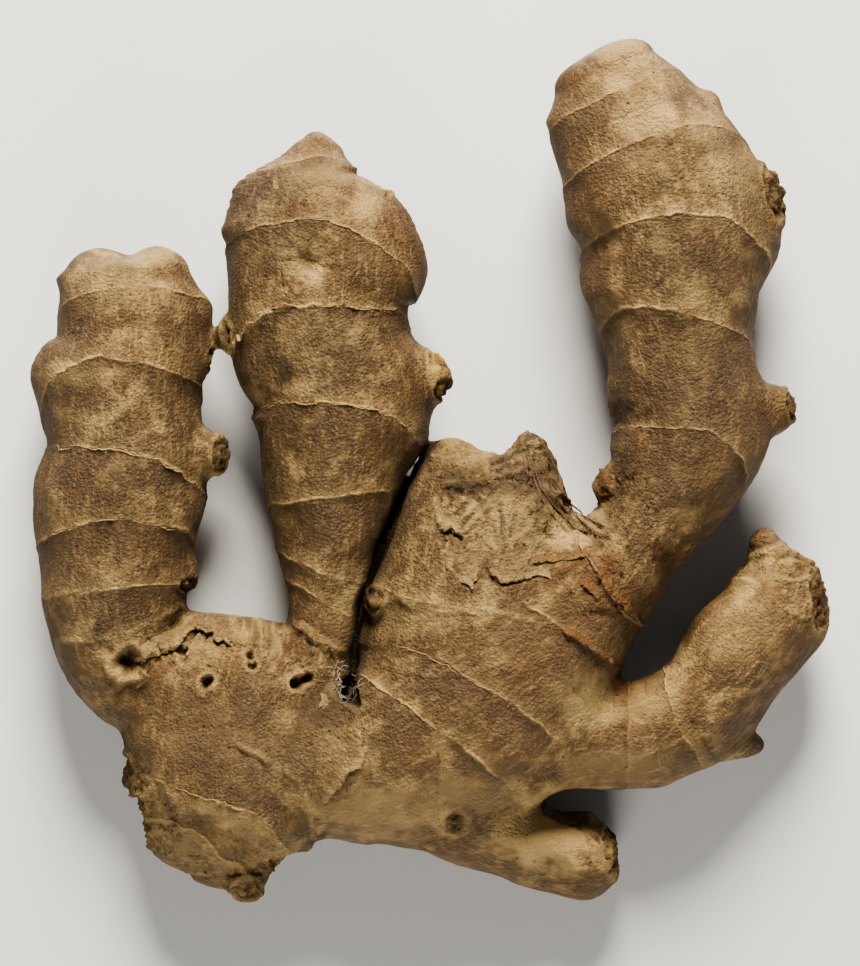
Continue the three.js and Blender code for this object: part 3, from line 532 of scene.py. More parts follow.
# Loose flaps of skin on the top: lift, raggedness, redness, then the hinge and the free edge in plan.
FLAPS = [
    (0.6, 0.3, 0, [(1.0, -4.4), (2.4, -5.2), (4.2, -6.6)],
     [(1.9, -8.3), (2.3, -9.2), (3.6, -8.9), (4.9, -10.1)]),
    (0.35, 0.35, 0.1, [(4.4, -13.2), (6.2, -12.8), (8.6, -13)], [(4.7, -17.4), (6.9, -18.5), (7.7, -15.9)]),
    (0.4, 0.5, 0, [(10.4, -13.4), (13, -13.4), (16.5, -14.2), (19.4, -15.4)],
     [(9.3, -15.6), (11.2, -17.6), (13.8, -17.3), (16.2, -16.6), (18.6, -16.9), (19.5, -17.4)]),
    (0.3, 0.2, 0.1, [(2.3, -12.2), (3.1, -12)], [(2.5, -15.4), (3.1, -15.8)]),
    (1.0, 0.4, 0.05, [(-46.2, -27.2), (-43, -25.2), (-40, -24.2), (-36.6, -22.8), (-34.4, -23.6),
                      (-31.5, -25)],
     [(-45.7, -30.8), (-43.6, -29.1), (-41.1, -28.3), (-40.1, -27.1), (-37.3, -25.0), (-35, -25.8),
      (-33.1, -27.1), (-31, -28)]),
    (0.35, 0.35, 0.1, [(-19.2, -50.6), (-18.4, -47), (-15.5, -43.4), (-12.2, -39.6)],
     [(-16.6, -53), (-14.8, -50.9), (-13.4, -49.1), (-12.8, -47.5), (-10.6, -46.9), (-9.9, -45.6),
      (-10.6, -43.8), (-10.6, -41)]),
    (0.35, 0.3, 0.5, [(16.4, -12.9), (20, -12.5), (23.4, -12.1), (25.6, -12.2)],
     [(16, -14.6), (19.4, -14.4), (22.6, -14.2), (25, -13.4)]),
    (0.5, 0.35, 1, [(27.2, -14.8), (29.2, -17.4), (31.2, -19.8), (33.2, -22.2)],
     [(26.1, -15.6), (28, -18.7), (29.2, -20.2), (31.6, -23)]),
    (0.45, 0.3, 1, [(24.2, -16.4), (26.2, -17.6), (28, -19.6)], [(23.6, -17.6), (25.2, -18.8), (27, -20.8)]),
    (0.35, 0.25, 0.7, [(21, -24.4), (23.2, -25.2), (26, -27.2), (29.6, -30)],
     [(20.6, -25.1), (23, -26.1), (25.8, -28.1), (29.4, -30.8)]),
    (0.6, 0.35, 0.3, [(-20.6, -23), (-17.4, -25.6), (-14.4, -27)],
     [(-21.4, -24.6), (-17.8, -27.2), (-14.2, -28.8)]),
    (0.6, 0.3, 0.2, [(-16.4, -34.8), (-15.6, -36.6), (-16, -38)],
     [(-17.4, -35.2), (-17, -37), (-18.2, -38.2)]),
    (0.5, 0.3, 0.1, [(-46.6, -31.4), (-46.2, -32.6), (-46.8, -33.4)],
     [(-45.4, -31.2), (-44.8, -32.8), (-46.6, -34.6)]),
]

# Torn leaf margins that still stand on a ring:
# lobe, ring, angles in degrees from the top (left positive), height.
MARGINS = [
    ("middle_finger", 4, 5, 80, 0.7),
    ("middle_finger", 4, -60, 5, 0.25),
    ("middle_finger", 3, -50, 60, 0.25),
    ("middle_finger", 5, -60, 30, 0.2),
    ("body", 1, -10, 60, 0.25),
    ("body", 0, -10, 55, 0.25),
    ("left_finger", 2, -60, 60, 0.2),
    ("left_finger", 1, -60, 60, 0.2),
    ("base", 0, -50, 50, 0.3),
    ("base", 1, -50, 50, 0.3),
]

# Dry strands on the right of the broken stem, in plan.
STRANDS = [
    [(16.5, 1.4), (17.8, -2.6), (20.2, -6), (23.4, -9.2), (28.2, -10.6)],
    [(17.8, 2), (19.7, -3), (22.6, -7.2), (27.4, -11.4)],
    [(19, 2.8), (21, -1.2), (22.2, -4.4), (25.8, -8.4)],
    [(15.4, 3.4), (16.6, -0.6), (17.9, -4.6), (19.8, -7.4), (22.4, -10.6)],
    [(16.8, 3.2), (18.6, -1.2), (20.6, -5.4), (24, -9.4)],
    [(18.4, 3.2), (20.2, 0), (21.6, -4.2), (24.8, -7.4), (28.8, -9.4)],
    [(14.6, 2.6), (15.6, -1), (16.6, -4.4)],
    [(13, 2.4), (13.6, -1.2), (14.4, -3.8)],
    [(19.6, 0.6), (21.6, -3), (24.4, -6.6), (27.8, -8.6)],
]

# Tufts of root hairs on the top: x, y, spread, number.
TUFTS = [
    (-12.8, -34.8, 1.5, 60),
    (-14.5, -32, 1.4, 14),
]

# A distance past all that matters, steps of an axis from section to section, and points measured at a time.
FAR = 20.0
STEPS_PER_SECTION = 6
CHUNK = 16000

# The slow waves of the skin, and how softly the crevice and the web meet the lobes.
SWELL = 0.36
SWELL_LENGTH = 11
CREVICE_LIP = 1.3
WEB_LIP = 1.0

# The height that parts the top from the underside.
MIDDLE_HEIGHT = 12

# Room under and over the root in the lattice, and how near the skin it is measured again at each halving.
ROOM_UNDER = 1.37
ROOM_OVER = 1.4
REACHES = (2.6, 0.95)

# Sizes of the loose sheets, the girth that their margins stand on, and the skin's triangles.
SHEET_STEP = 0.3
FLAP_ROW = 0.45
SHEET_THICKNESS = 0.1
MARGIN_RADIUS = 14
TRIANGLES = 196000


def smooth_rows(sections):
    """The sections drawn close together along a smooth curve through them."""
    rows = np.array(sections, float)
    last = len(rows) - 1
    t = np.linspace(0, last, last * STEPS_PER_SECTION + 1)
    i = np.minimum(t.astype(int), last - 1)
    f = (t - i)[:, None]
    a, b, c, d = (rows[np.clip(i + k, 0, last)] for k in (-1, 0, 1, 2))
    return b + 0.5 * f * (c - a + f * (2 * a - 5 * b + 4 * c - d + f * (3 * (b - c) + d - a)))


class Lobe:
    """One lobe's axis in plan, with its half widths, centre height and half height along it."""

    def __init__(self, sections, root, tip, blend, rings):
        self.rows = smooth_rows(sections)
        self.root, self.tip, self.blend = root, tip, blend
        steps = np.diff(self.rows[:, :2], axis=0)
        self.step = np.linalg.norm(steps, axis=1)
        self.heading = steps / self.step[:, None]
        self.along = np.concatenate([[0], np.cumsum(self.step)])
        places = [np.interp(r[0] * STEPS_PER_SECTION, np.arange(len(self.along)), self.along) for r in rings]
        self.rings = [(place, *r[1:]) for place, r in zip(places, rings)]
        reach = self.rows[:, 2:4].max() + root + tip
        self.low = self.rows[:, :2].min(0) - reach
        self.high = self.rows[:, :2].max(0) + reach

    def nearest(self, xy):
        """The axis step nearest to each point and the share of the way along it."""
        away = xy[:, None, :] - self.rows[None, :-1, :2]
        f = np.clip((away * self.heading).sum(2) / self.step, 0, 1)
        gap = ((away - f[:, :, None] * (self.heading * self.step[:, None])) ** 2).sum(2)
        i = gap.argmin(1)
        return i, f[np.arange(len(xy)), i]

    def measure(self, p):
        """Distance to the plain skin, place along the axis, and how far off it in shares and millimetres."""
        i, f = self.nearest(p[:, :2])
        row = self.rows[i] + f[:, None] * (self.rows[i + 1] - self.rows[i])
        head = self.heading[i]
        away = p[:, :2] - row[:, :2]
        side = away[:, 1] * head[:, 0] - away[:, 0] * head[:, 1]
        start = (i == 0) & (f == 0)
        end = (i == len(self.step) - 1) & (f == 1)
        side = np.where(start | end, side, np.sign(side) * np.linalg.norm(away, axis=1))
        over = np.where(start | end, (away * head).sum(1), 0)
        up = p[:, 2] - row[:, 4]
        width = np.where(side > 0, row[:, 2], row[:, 3])
        cap = np.where(start, self.root, np.where(end, self.tip, 1e9))
        u, v, w = side / width, up / row[:, 5], over / cap
        q = np.sqrt(u * u + v * v + w * w)
        slope = np.sqrt((u / width) ** 2 + (v / row[:, 5]) ** 2 + (w / cap) ** 2)
        distance = q * (q - 1) / np.maximum(slope, 1e-9)
        return distance, self.along[i] + f * self.step[i] + over, u, v, side, up

    def skin_point(self, s, angle):
        """A point of the plain skin, at s along the axis and an angle from the top, positive to the left."""
        row = np.array([np.interp(s, self.along, self.rows[:, k]) for k in range(6)])
        i = int(np.clip(np.searchsorted(self.along, s) - 1, 0, len(self.step) - 1))
        tx, ty = self.heading[i]
        side = math.sin(angle) * (row[2] if angle > 0 else row[3])
        return np.array([row[0] - ty * side, row[1] + tx * side, row[4] + math.cos(angle) * row[5]])


def joined(a, b, width):
    """Two distances joined, flowing into each other over a width."""
    if width == 0:
        return np.minimum(a, b)
    h = np.maximum(width - np.abs(a - b), 0) / width
    return np.minimum(a, b) - h * h * width / 4


def to_line(xy, points):
    """Distance from plan points to a line through points."""
    best = np.full(len(xy), 1e9)
    for a, b in zip(points, points[1:]):
        a, b = np.array(a, float), np.array(b, float)
        f = np.clip(((xy - a) @ (b - a)) / ((b - a) @ (b - a)), 0, 1)
        best = np.minimum(best, np.linalg.norm(xy - a - f[:, None] * (b - a), axis=1))
    return best


def smooth_step(x, low, high):
    t = np.clip((x - low) / (high - low), 0, 1)
    return t * t * (3 - 2 * t)


def noise_at(p, size, seed=0.0):
    """Smooth noise between about -1 and 1 at points in millimetres, its lumps about size across."""
    shift = Vector((seed * 17.3, seed * 5.1, seed * 11.7))
    return np.array([noise.noise(Vector(q) / size + shift) for q in p.tolist()])


def swell(p, length):
    """A slow wave in space, the same for every lobe, between -1 and 1."""
    a, b, c = (p * 2 * math.pi / length).T
    first = np.sin(a + 1.3 * np.sin(0.7 * b + 0.4))
    second = np.sin(0.9 * b - 0.6 * c + 1.1 * np.sin(0.8 * a + 2))
    return (first + second + np.sin(1.1 * c + 0.7 * a + 0.9 * np.sin(0.9 * b + 4))) / 3


def bud_distance(p, bud):
    centre, half = np.array(bud[:3], float), np.array(bud[3:], float)
    r = (p - centre) / half
    q = np.linalg.norm(r, axis=1)
    return q * (q - 1) / np.maximum(np.linalg.norm(r / half, axis=1), 1e-9)


def crevice_distance(p):
    """Distance to the crevice, which wanders a little on its way to the base."""
    away = to_line(p[:, :2], CREVICE)
    near = np.flatnonzero(away < 4)
    if len(near):
        q = p[near] * (1, 1, 0.4)
        wander = np.stack([noise_at(q, 5, 21) + 0.4 * noise_at(q, 1.8, 22), noise_at(q, 5, 23)], 1)
        away[near] = to_line(p[near, :2] + 0.7 * wander, CREVICE)
    return np.maximum(away - CREVICE_HALF_WIDTH, CREVICE_FLOOR - p[:, 2])


lobes = {name: Lobe(**LOBES[name]) for name in LOBES}


def survey(p):
    """The plain skin's distance, each point's lobe and place, and the gaps to the next lobe and the cleft."""
    n = len(p)
    distance = np.full(n, FAR)
    owner = np.zeros(n, int)
    first, second = np.full(n, FAR), np.full(n, FAR)
    place = np.zeros((n, 5))
    for k, lobe in enumerate(lobes.values()):
        inside = np.flatnonzero(((p[:, :2] > lobe.low) & (p[:, :2] < lobe.high)).all(1))
        for part in np.array_split(inside, max(1, len(inside) // CHUNK)):
            if not len(part):
                continue
            d, *rest = lobe.measure(p[part])
            distance[part] = joined(distance[part], d, lobe.blend)
            closer = d < first[part]
            second[part] = np.where(closer, first[part], np.minimum(second[part], d))
            won = part[closer]
            first[won] = d[closer]
            owner[won] = k
            place[won] = np.array(rest).T[closer]
    for bud in BUDS:
        close = np.flatnonzero((np.abs(p - np.array(bud[:3])) < np.array(bud[3:]) + 5).all(1))
        if len(close):
            distance[close] = joined(distance[close], bud_distance(p[close], bud), BUD_BLEND)
    distance -= np.where(distance < 6, SWELL * swell(p, SWELL_LENGTH), 0)
    crevice = crevice_distance(p)
    low_down = np.abs(p[:, 2] - WEB_MIDDLE) - WEB_HALF_HEIGHT
    web = np.maximum(to_line(p[:, :2], WEB) - WEB_HALF_WIDTH, low_down)
    opened = -joined(-distance, crevice, CREVICE_LIP)
    return joined(opened, web, WEB_LIP), owner, place, second - first, crevice


def doubled(block):
    """A block of values with new ones halfway between the old ones."""
    for axis in range(3):
        old = np.moveaxis(block, axis, 0)
        new = np.empty((2 * len(old) - 1, *old.shape[1:]), old.dtype)
        new[::2] = old
        new[1::2] = (old[1:] + old[:-1]) / 2
        block = np.moveaxis(new, 0, axis)
    return np.ascontiguousarray(block)


def lattice_points(index, shape, low, step):
    return low + step * np.stack(np.unravel_index(index, shape), 1)


def skin_values(low, high, cell):
    """The plain skin's distance on a block of points, exact near the skin."""
    step = 4 * cell
    shape = tuple(np.ceil((high - low) / step).astype(int) + 1)
    every = lattice_points(np.arange(math.prod(shape)), shape, low, step)
    values = np.maximum(survey(every)[0], -every[:, 2]).reshape(shape)
    for reach in REACHES:
        values, step = doubled(values), step / 2
        near = np.flatnonzero(np.abs(values) < reach)
        points = lattice_points(near, values.shape, low, step)
        values.ravel()[near] = np.maximum(survey(points)[0], -points[:, 2])
    return values


def net_over(values, low, cell):
    """The zero level of a block of values, as points and four-sided faces."""
    inside = values < 0
    size = np.array(values.shape)
    corners = np.zeros(size - 1, np.uint8)
    for i in (0, 1):
        for j in (0, 1):
            for k in (0, 1):
                corners += inside[i:size[0] - 1 + i, j:size[1] - 1 + j, k:size[2] - 1 + k]
    cells = np.argwhere((corners > 0) & (corners < 8))
    number = np.full(corners.shape, -1)
    number[tuple(cells.T)] = np.arange(len(cells))
    total, count = np.zeros((len(cells), 3)), np.zeros(len(cells))
    faces = []
    for axis in range(3):
        u, v = np.eye(3, dtype=int)[[(axis + 1) % 3, (axis + 2) % 3]]
        along = np.eye(3, dtype=int)[axis]
        for shift in (0 * u, u, v, u + v):
            start = cells + shift
            a, b = values[tuple(start.T)], values[tuple((start + along).T)]
            crossed = (a < 0) != (b < 0)
            place = start[crossed] + along * (a / (a - b + 1e-30))[crossed, None]
            total[crossed] += place
            count[crossed] += 1
        from_in = np.moveaxis(inside, axis, 0)
        starts = np.argwhere(np.moveaxis(from_in[:-1] != from_in[1:], 0, axis))
        starts = starts[((starts - u - v >= 0) & (starts < size - 1)).all(1)]
        quad = np.stack([number[tuple((starts - d).T)] for d in (u + v, v, 0 * u, u)], 1)
        flip = ~inside[tuple(starts.T)]
        quad[flip] = quad[flip, ::-1]
        faces.append(quad)
    return low + cell * total / count[:, None], np.concatenate(faces)


def new_mesh(name, points, faces):
    mesh = bpy.data.meshes.new(name)
    mesh.from_pydata(np.asarray(points) * MM, [], faces)
    mesh.validate()
    return mesh


def ring_relief(p, owner, place, seam):
    """Height that the leaf rings add, each point's distance past the nearest ring, and its strength."""
    rough = ring_wobble(p)
    fades = 0.72 + 1.3 * noise_at(p, 7, 4) + 0.7 * noise_at(p, 1.3, 5)
    here = smooth_step(seam, 0.4, 2.2)
    relief = np.zeros(len(p))
    offset = np.full(len(p), 9.0)
    strength = np.zeros(len(p))
    for k, lobe in enumerate(lobes.values()):
        own = np.flatnonzero(owner == k)
        s, u, v = place[own, 0], place[own, 1], place[own, 2]
        for at, lean, left, height, ragged in lobe.rings:
            d = s - at - lean * v - left * u - rough[own] * ring_stray(ragged)
            crest = np.where(d > 0, np.exp(-d / 0.55), np.exp(-((d / 0.6) ** 2)))
            step = np.where(d > 0, np.exp(-d / 5), np.exp(-((d / 1.1) ** 2)))
            high = height * np.clip(fades[own], 0.06, 1.8) * here[own]
            relief[own] += 0.32 * high * crest + 0.14 * np.sqrt(height) * step * here[own]
            nearer = np.abs(d) < np.abs(offset[own])
            won = own[nearer]
            offset[won] = d[nearer]
            strength[won] = (high / 0.5)[nearer]
    return relief, np.clip(offset, -9, 9), np.clip(strength, 0, 2)


def ring_wobble(p):
    """How a ring strays at each point, as a share of the most that it may."""
    return 0.75 * noise_at(p, 5, 1) + 0.4 * noise_at(p, 1.6, 2) + 0.2 * noise_at(p, 0.7, 3)


def ring_stray(ragged):
    """How far a ring of some raggedness may stray, in millimetres."""
    return 0.35 + 0.75 * ragged


def along_line(xy, points):
    """Distance from plan points to a line, with the place along it and across it."""
    best, along, across = np.full(len(xy), 1e9), np.zeros(len(xy)), np.zeros(len(xy))
    start = 0.0
    for a, b in zip(points, points[1:]):
        a, b = np.array(a, float), np.array(b, float)
        length = np.linalg.norm(b - a)
        head = (b - a) / length
        away = xy - a
        f = np.clip(away @ head, 0, length)
        d = np.linalg.norm(away - f[:, None] * head, axis=1)
        won = d < best
        best[won] = d[won]
        along[won] = start + f[won]
        across[won] = (away @ (-head[1], head[0]))[won]
        start += length
    return best, along, across


def scar_relief(p):
    """Height that the crusty scars add, with how dark, crusty, pale and yellow they are."""
    relief, dark, crust, pale, yellow = (np.zeros(len(p)) for _ in range(5))
    for x, y, z, rx, ry, rz, rim, darkness, gold in SCARS:
        centre, half = np.array((x, y, z)), np.array((rx, ry, rz))
        near = np.flatnonzero((np.abs(p - centre) < 1.7 * half).all(1))
        if not len(near):
            continue
        q = p[near]
        r = np.linalg.norm((q - centre) / half, axis=1)
        r = r + 0.22 * noise_at(q, 1.6, 51) + 0.12 * noise_at(q, 0.6, 54)
        face = smooth_step(-r, -1.08, -0.86)
        lip = np.exp(-(((r - 1.14) / 0.16) ** 2))
        ditch = np.exp(-(((r - 0.92) / 0.13) ** 2))
        rubble = noise_at(q, 1.3, 52) + 0.7 * noise_at(q, 0.55, 53)
        relief[near] += rim * lip - 0.45 * darkness * ditch + face * (0.55 * rubble - 0.2)
        shade = np.maximum(ditch, face * smooth_step(-rubble, -0.25, 0.2)) * darkness
        dark[near] = np.maximum(dark[near], shade)
        crust[near] = np.maximum(crust[near], 0.6 * face)
        pale[near] = np.maximum(pale[near], 0.6 * lip)
        yellow[near] = np.maximum(yellow[near], gold * face * smooth_step(rubble, -0.2, 0.3))
    return relief, dark, crust, pale, yellow


def band_relief(p, top):
    """Height that torn and pleated fibres add, with the painted shade in their troughs and how pale their
    ridges are.
    """
    relief, dark, pale = np.zeros(len(p)), np.zeros(len(p)), np.zeros(len(p))
    for seed, (half, spacing, height, darkness, paleness, points) in enumerate(BANDS):
        low, high = np.min(points, axis=0) - half - 1, np.max(points, axis=0) + half + 1
        near = np.flatnonzero(((p[:, :2] > low) & (p[:, :2] < high)).all(1) & top)
        d, along, across = along_line(p[near, :2], points)
        run = np.stack([across, along / 5, np.full(len(near), 3.7 * seed)], 1)
        across = across + 0.5 * noise_at(run, 0.9, 55)
        run[:, 0] = across
        ridge = 1 - 2.6 * np.abs(noise_at(run, 1.4 * spacing, 56))
        share = smooth_step(-d / half + 0.4 * noise_at(p[near], 1.6, 57), -1.15, -0.6)
        relief[near] += share * height * (ridge - 0.4)
        # Painted shade in the troughs.
        dark[near] = np.maximum(dark[near], share * darkness * smooth_step(-ridge, -0.55, 0.1))
        pale[near] = np.maximum(pale[near], share * paleness * smooth_step(ridge, 0.5, 0.95))
    return relief, dark, pale


def torn_relief(p, top):
    """Height that torn layers of skin add, with the painted shadow at the foot and the pale edge of each
    layer.
    """
    share = np.zeros(len(p))
    for x, y, rx, ry, amount in TORN:
        r = np.hypot((p[:, 0] - x) / rx, (p[:, 1] - y) / ry)
        np.maximum(share, amount * smooth_step(-r, -1.15, -0.75) * top, out=share)
    near = np.flatnonzero(share)
    q = p[near] * (1, 0.75, 0.5)
    level = 2.3 * noise_at(q, 4.2, 61) + 0.8 * noise_at(q, 1.3, 62) + 0.35 * noise_at(q, 0.5, 63)
    part = level - np.floor(level)
    stair = np.floor(level) + smooth_step(part, 0, 0.12) - 0.25 * part
    relief, dark, pale = np.zeros(len(p)), np.zeros(len(p)), np.zeros(len(p))
    relief[near] = 0.42 * share[near] * stair
    # Painted shadow at the foot of each step.
    dark[near] = 0.75 * share[near] * smooth_step(part, 0.82, 0.99)
    pale[near] = 0.6 * share[near] * np.exp(-(((part - 0.14) / 0.07) ** 2))
    return relief, dark, pale


def pit_relief(p):
    """Height that the pits and their rims add, with how dark and how pale they are."""
    relief, dark, pale = np.zeros(len(p)), np.zeros(len(p)), np.zeros(len(p))
    wobble = noise_at(p, 1.8, 6)
    for x, y, side, radius, depth, rim, knob in PITS:
        r = np.hypot(p[:, 0] - x, p[:, 1] - y) / radius
        near = np.flatnonzero((r < 2.6) & ((p[:, 2] - MIDDLE_HEIGHT) * side > 0))
        q = r[near] + 0.38 * wobble[near]
        bowl = np.exp(-((q / 0.8) ** 4))
        lip = np.exp(-(((q - 1.2) / 0.35) ** 2))
        centre = np.exp(-((q / 0.35) ** 2))
        relief[near] += rim * lip - depth * bowl + knob * centre
        hole = np.exp(-((q / 0.62) ** 4)) * (1 - 0.7 * centre * (knob > 0))
        dark[near] = np.maximum(dark[near], hole * min(depth / 1.2, 1))
        pale[near] = np.maximum(pale[near], lip * min(rim / 0.5, 1))
    return relief, dark, pale


def crease_relief(p, top):
    """Height that creases, torn edges, dents and crusty patches add, and the colours that go with them, with
    painted shadow in the grooves, and painted light and shade in the patches.
    """
    relief = np.zeros(len(p))
    red, paper, pale, dark, crust = (np.zeros(len(p)) for _ in range(5))
    xy = p[:, :2].copy()
    xy[:, 0] += 0.35 * noise_at(p, 1.4, 7)
    xy[:, 1] += 0.35 * noise_at(p, 1.4, 8)
    patchy = 1 + 0.7 * noise_at(p, 2.2, 9)
    for height, half, darkness, paleness, redness, points in LINES:
        d = to_line(xy, points)
        near = np.flatnonzero((d < 4 * half) & top)
        g = np.exp(-((d[near] / half) ** 2)) * np.clip(patchy[near], 0.2, 1.6)
        relief[near] += height * g
        dark[near] = np.maximum(dark[near], darkness * g)
        pale[near] = np.maximum(pale[near], paleness * g)
        red[near] = np.maximum(red[near], redness * np.exp(-((d[near] / (2 * half)) ** 2)))
    blotch = 0.45 * noise_at(p, 3, 10) + 0.3 * noise_at(p, 1, 11)
    for x, y, rx, ry, *amounts in PATCHES:
        r = np.hypot((p[:, 0] - x) / rx, (p[:, 1] - y) / ry) + blotch
        g = np.where(top, smooth_step(-r, -1.2, -0.4), 0)
        for layer, amount in zip((red, paper, pale, dark, crust), amounts):
            np.maximum(layer, amount * g, out=layer)
    for x, y, radius, height in DENTS:
        r = np.hypot(p[:, 0] - x, p[:, 1] - y) / radius
        relief += np.where(top, height * np.exp(-r * r), 0)
    for x, y, radius, height, rays in STARS:
        r = np.hypot(p[:, 0] - x, p[:, 1] - y)
        turn = np.arctan2(p[:, 1] - y, p[:, 0] - x)
        near = np.flatnonzero((r < 2 * radius) & top)
        q = r[near] / radius
        ray = np.sin(rays * turn[near] + 5 * noise_at(p[near], 2.2, 18))
        relief[near] += height * ray * q * np.exp(-q * q) * 2
    rubble = 0.45 * noise_at(p, 1.1, 12) + 0.7 * (np.abs(noise_at(p, 2.1, 13)) - 0.2)
    relief += crust * rubble
    relief += 0.12 * paper
    return relief, red, paper, pale, dark, crust


def wrinkles(p, owner, place, offset):
    """Fibre wrinkles that run along each lobe, crinkles in its older skin, and slow lumps across it."""
    run = np.stack([place[:, 0] / 4, place[:, 3] + 31 * owner, place[:, 4]], 1)
    fine = noise_at(run, 1.1, 14)
    broad = noise_at(run * (1.5, 1, 1), 3.2, 15)
    crinkle = np.abs(noise_at(p, 1.7, 16))
    older = smooth_step(offset, -1.5, 2.5) * smooth_step(-offset, -9, -5)
    lumps = 0.26 * noise_at(p, 6, 17) + 0.12 * noise_at(p, 2.8, 19)
    pits = np.abs(noise_at(p, 1.0, 20))
    return 0.015 * fine + 0.05 * broad + lumps + 0.035 * pits - (0.01 + 0.035 * older) * crinkle


def vertex_normals(mesh):
    normals = np.empty(len(mesh.vertices) * 3, np.float32)
    mesh.vertex_normals.foreach_get("vector", normals)
    return normals.reshape(-1, 3).astype(float)


def read_points(mesh):
    co = np.empty(len(mesh.vertices) * 3, np.float32)
    mesh.vertices.foreach_get("co", co)
    return co.reshape(-1, 3).astype(float) / MM


def write_points(mesh, points):
    mesh.vertices.foreach_set("co", (points * MM).astype(np.float32).ravel())
    mesh.update()


def add_values(mesh, name, values):
    """Stores one number or three for each point, for the materials to read."""
    kind = "FLOAT_VECTOR" if values.ndim == 2 else "FLOAT"
    layer = mesh.attributes.new(name, kind, "POINT")
    layer.data.foreach_set("vector" if values.ndim == 2 else "value", values.astype(np.float32).ravel())


def applied(mesh, kind, **settings):
    """The mesh that a modifier makes of a mesh."""
    holder = bpy.data.objects.new("holder", mesh)
    bpy.context.scene.collection.objects.link(holder)
    modifier = holder.modifiers.new("step", kind)
    for name, value in settings.items():
        setattr(modifier, name, value)
    graph = bpy.context.evaluated_depsgraph_get()
    result = bpy.data.meshes.new_from_object(holder.evaluated_get(graph))
    bpy.data.objects.remove(holder)
    bpy.data.meshes.remove(mesh)
    return result


def inside_root(p):
    """Points kept within the root's own size."""
    return np.clip(p, np.array(ROOT_LOW) / MM, np.array(ROOT_HIGH) / MM)


def grown_skin(cell):
    """The whole root's skin, with its rings, pits, creases and wrinkles, and the marks its colours follow."""
    low, high = np.array(ROOT_LOW) / MM - ROOM_UNDER, np.array(ROOT_HIGH) / MM + ROOM_OVER
    mesh = new_mesh("skin_net", *net_over(skin_values(low, high, cell), low, cell))
    p = read_points(mesh)
    distance, owner, place, seam, crevice = survey(p)
    off_floor = smooth_step(p[:, 2], 0.1, 1.5)
    p -= vertex_normals(mesh) * (np.clip(distance, -0.4, 0.4) * off_floor)[:, None]
    write_points(mesh, p)
    mesh = applied(mesh, "SMOOTH", factor=0.5, iterations=6)
    p = read_points(mesh)
    top = p[:, 2] > MIDDLE_HEIGHT
    rings, offset, strength = ring_relief(p, owner, place, seam)
    pits, pit_dark, pit_pale = pit_relief(p)
    creases, red, paper, pale, dark, crust = crease_relief(p, top)
    scars, scar_dark, scar_crust, scar_pale, yellow = scar_relief(p)
    bands, band_dark, band_pale = band_relief(p, top)
    torn, torn_dark, torn_pale = torn_relief(p, top)
    # The darkness is partly painted shade, in grooves, troughs and at torn steps, and the paleness partly
    # painted light on lit patches.
    dark = np.max([dark, scar_dark, band_dark, pit_dark, torn_dark], axis=0)
    pale = np.max([pale, scar_pale, band_pale, 0.8 * pit_pale, torn_pale], axis=0)
    relief = rings + pits + creases + scars + bands + torn + wrinkles(p, owner, place, offset)
    # Painted shade: the sides that face left or right and the underside are darkened in the colour, and made
    # rougher.
    facing = vertex_normals(mesh)
    beside = smooth_step(np.abs(facing[:, 0]), 0.35, 0.95)
    painted_flank_shade = np.maximum(beside, 0.7 * smooth_step(-facing[:, 2], 0, 0.6))
    relief *= smooth_step(p[:, 2], 0.3, 2.5)
    # Painted shade in the crevice between the middle finger and the body.
    cleft = np.exp(-np.maximum(crevice, 0) / 1.1) * smooth_step(p[:, 2], 8, 13)
    joint = 1 - smooth_step(seam, 0.2, 2.5)
    write_points(mesh, inside_root(p + vertex_normals(mesh) * relief[:, None]))
    add_values(mesh, "ring", offset)
    add_values(mesh, "ring_strength", strength)
    add_values(mesh, "grain", np.stack([place[:, 0] / 4, place[:, 3] + 31 * owner, place[:, 4]], 1) * MM)
    # Red stains, papery skin, and paleness that is partly painted light.
    add_values(mesh, "stain", np.stack([red, paper, pale], 1))
    # Dark marks (partly painted shade), painted shade in the crevice, and crust.
    add_values(mesh, "dirt_and_shade", np.stack([dark, cleft, np.max([crust, scar_crust, 0.5 * joint], axis=0)], 1))
    add_values(mesh, "yellow", yellow)
    add_values(mesh, "painted_flank_shade", painted_flank_shade)
    return applied(mesh, "DECIMATE", ratio=TRIANGLES / (2 * len(mesh.polygons)))


class Surface:
    """Finds places on the finished skin, in millimetres."""

    def __init__(self, piece):
        self.tree = BVHTree.FromObject(piece, bpy.context.evaluated_depsgraph_get())

    def below(self, x, y):
        """The skin's point and normal straight below a place in plan."""
        point, normal, *_ = self.tree.ray_cast(Vector((x, y, 60)) * MM, Vector((0, 0, -1)))
        if point is None:
            return self.nearest((x, y, 14))
        return np.array(point) / MM, np.array(normal)

    def nearest(self, p):
        point, normal, *_ = self.tree.find_nearest(Vector(p) * MM)
        return np.array(point) / MM, np.array(normal)


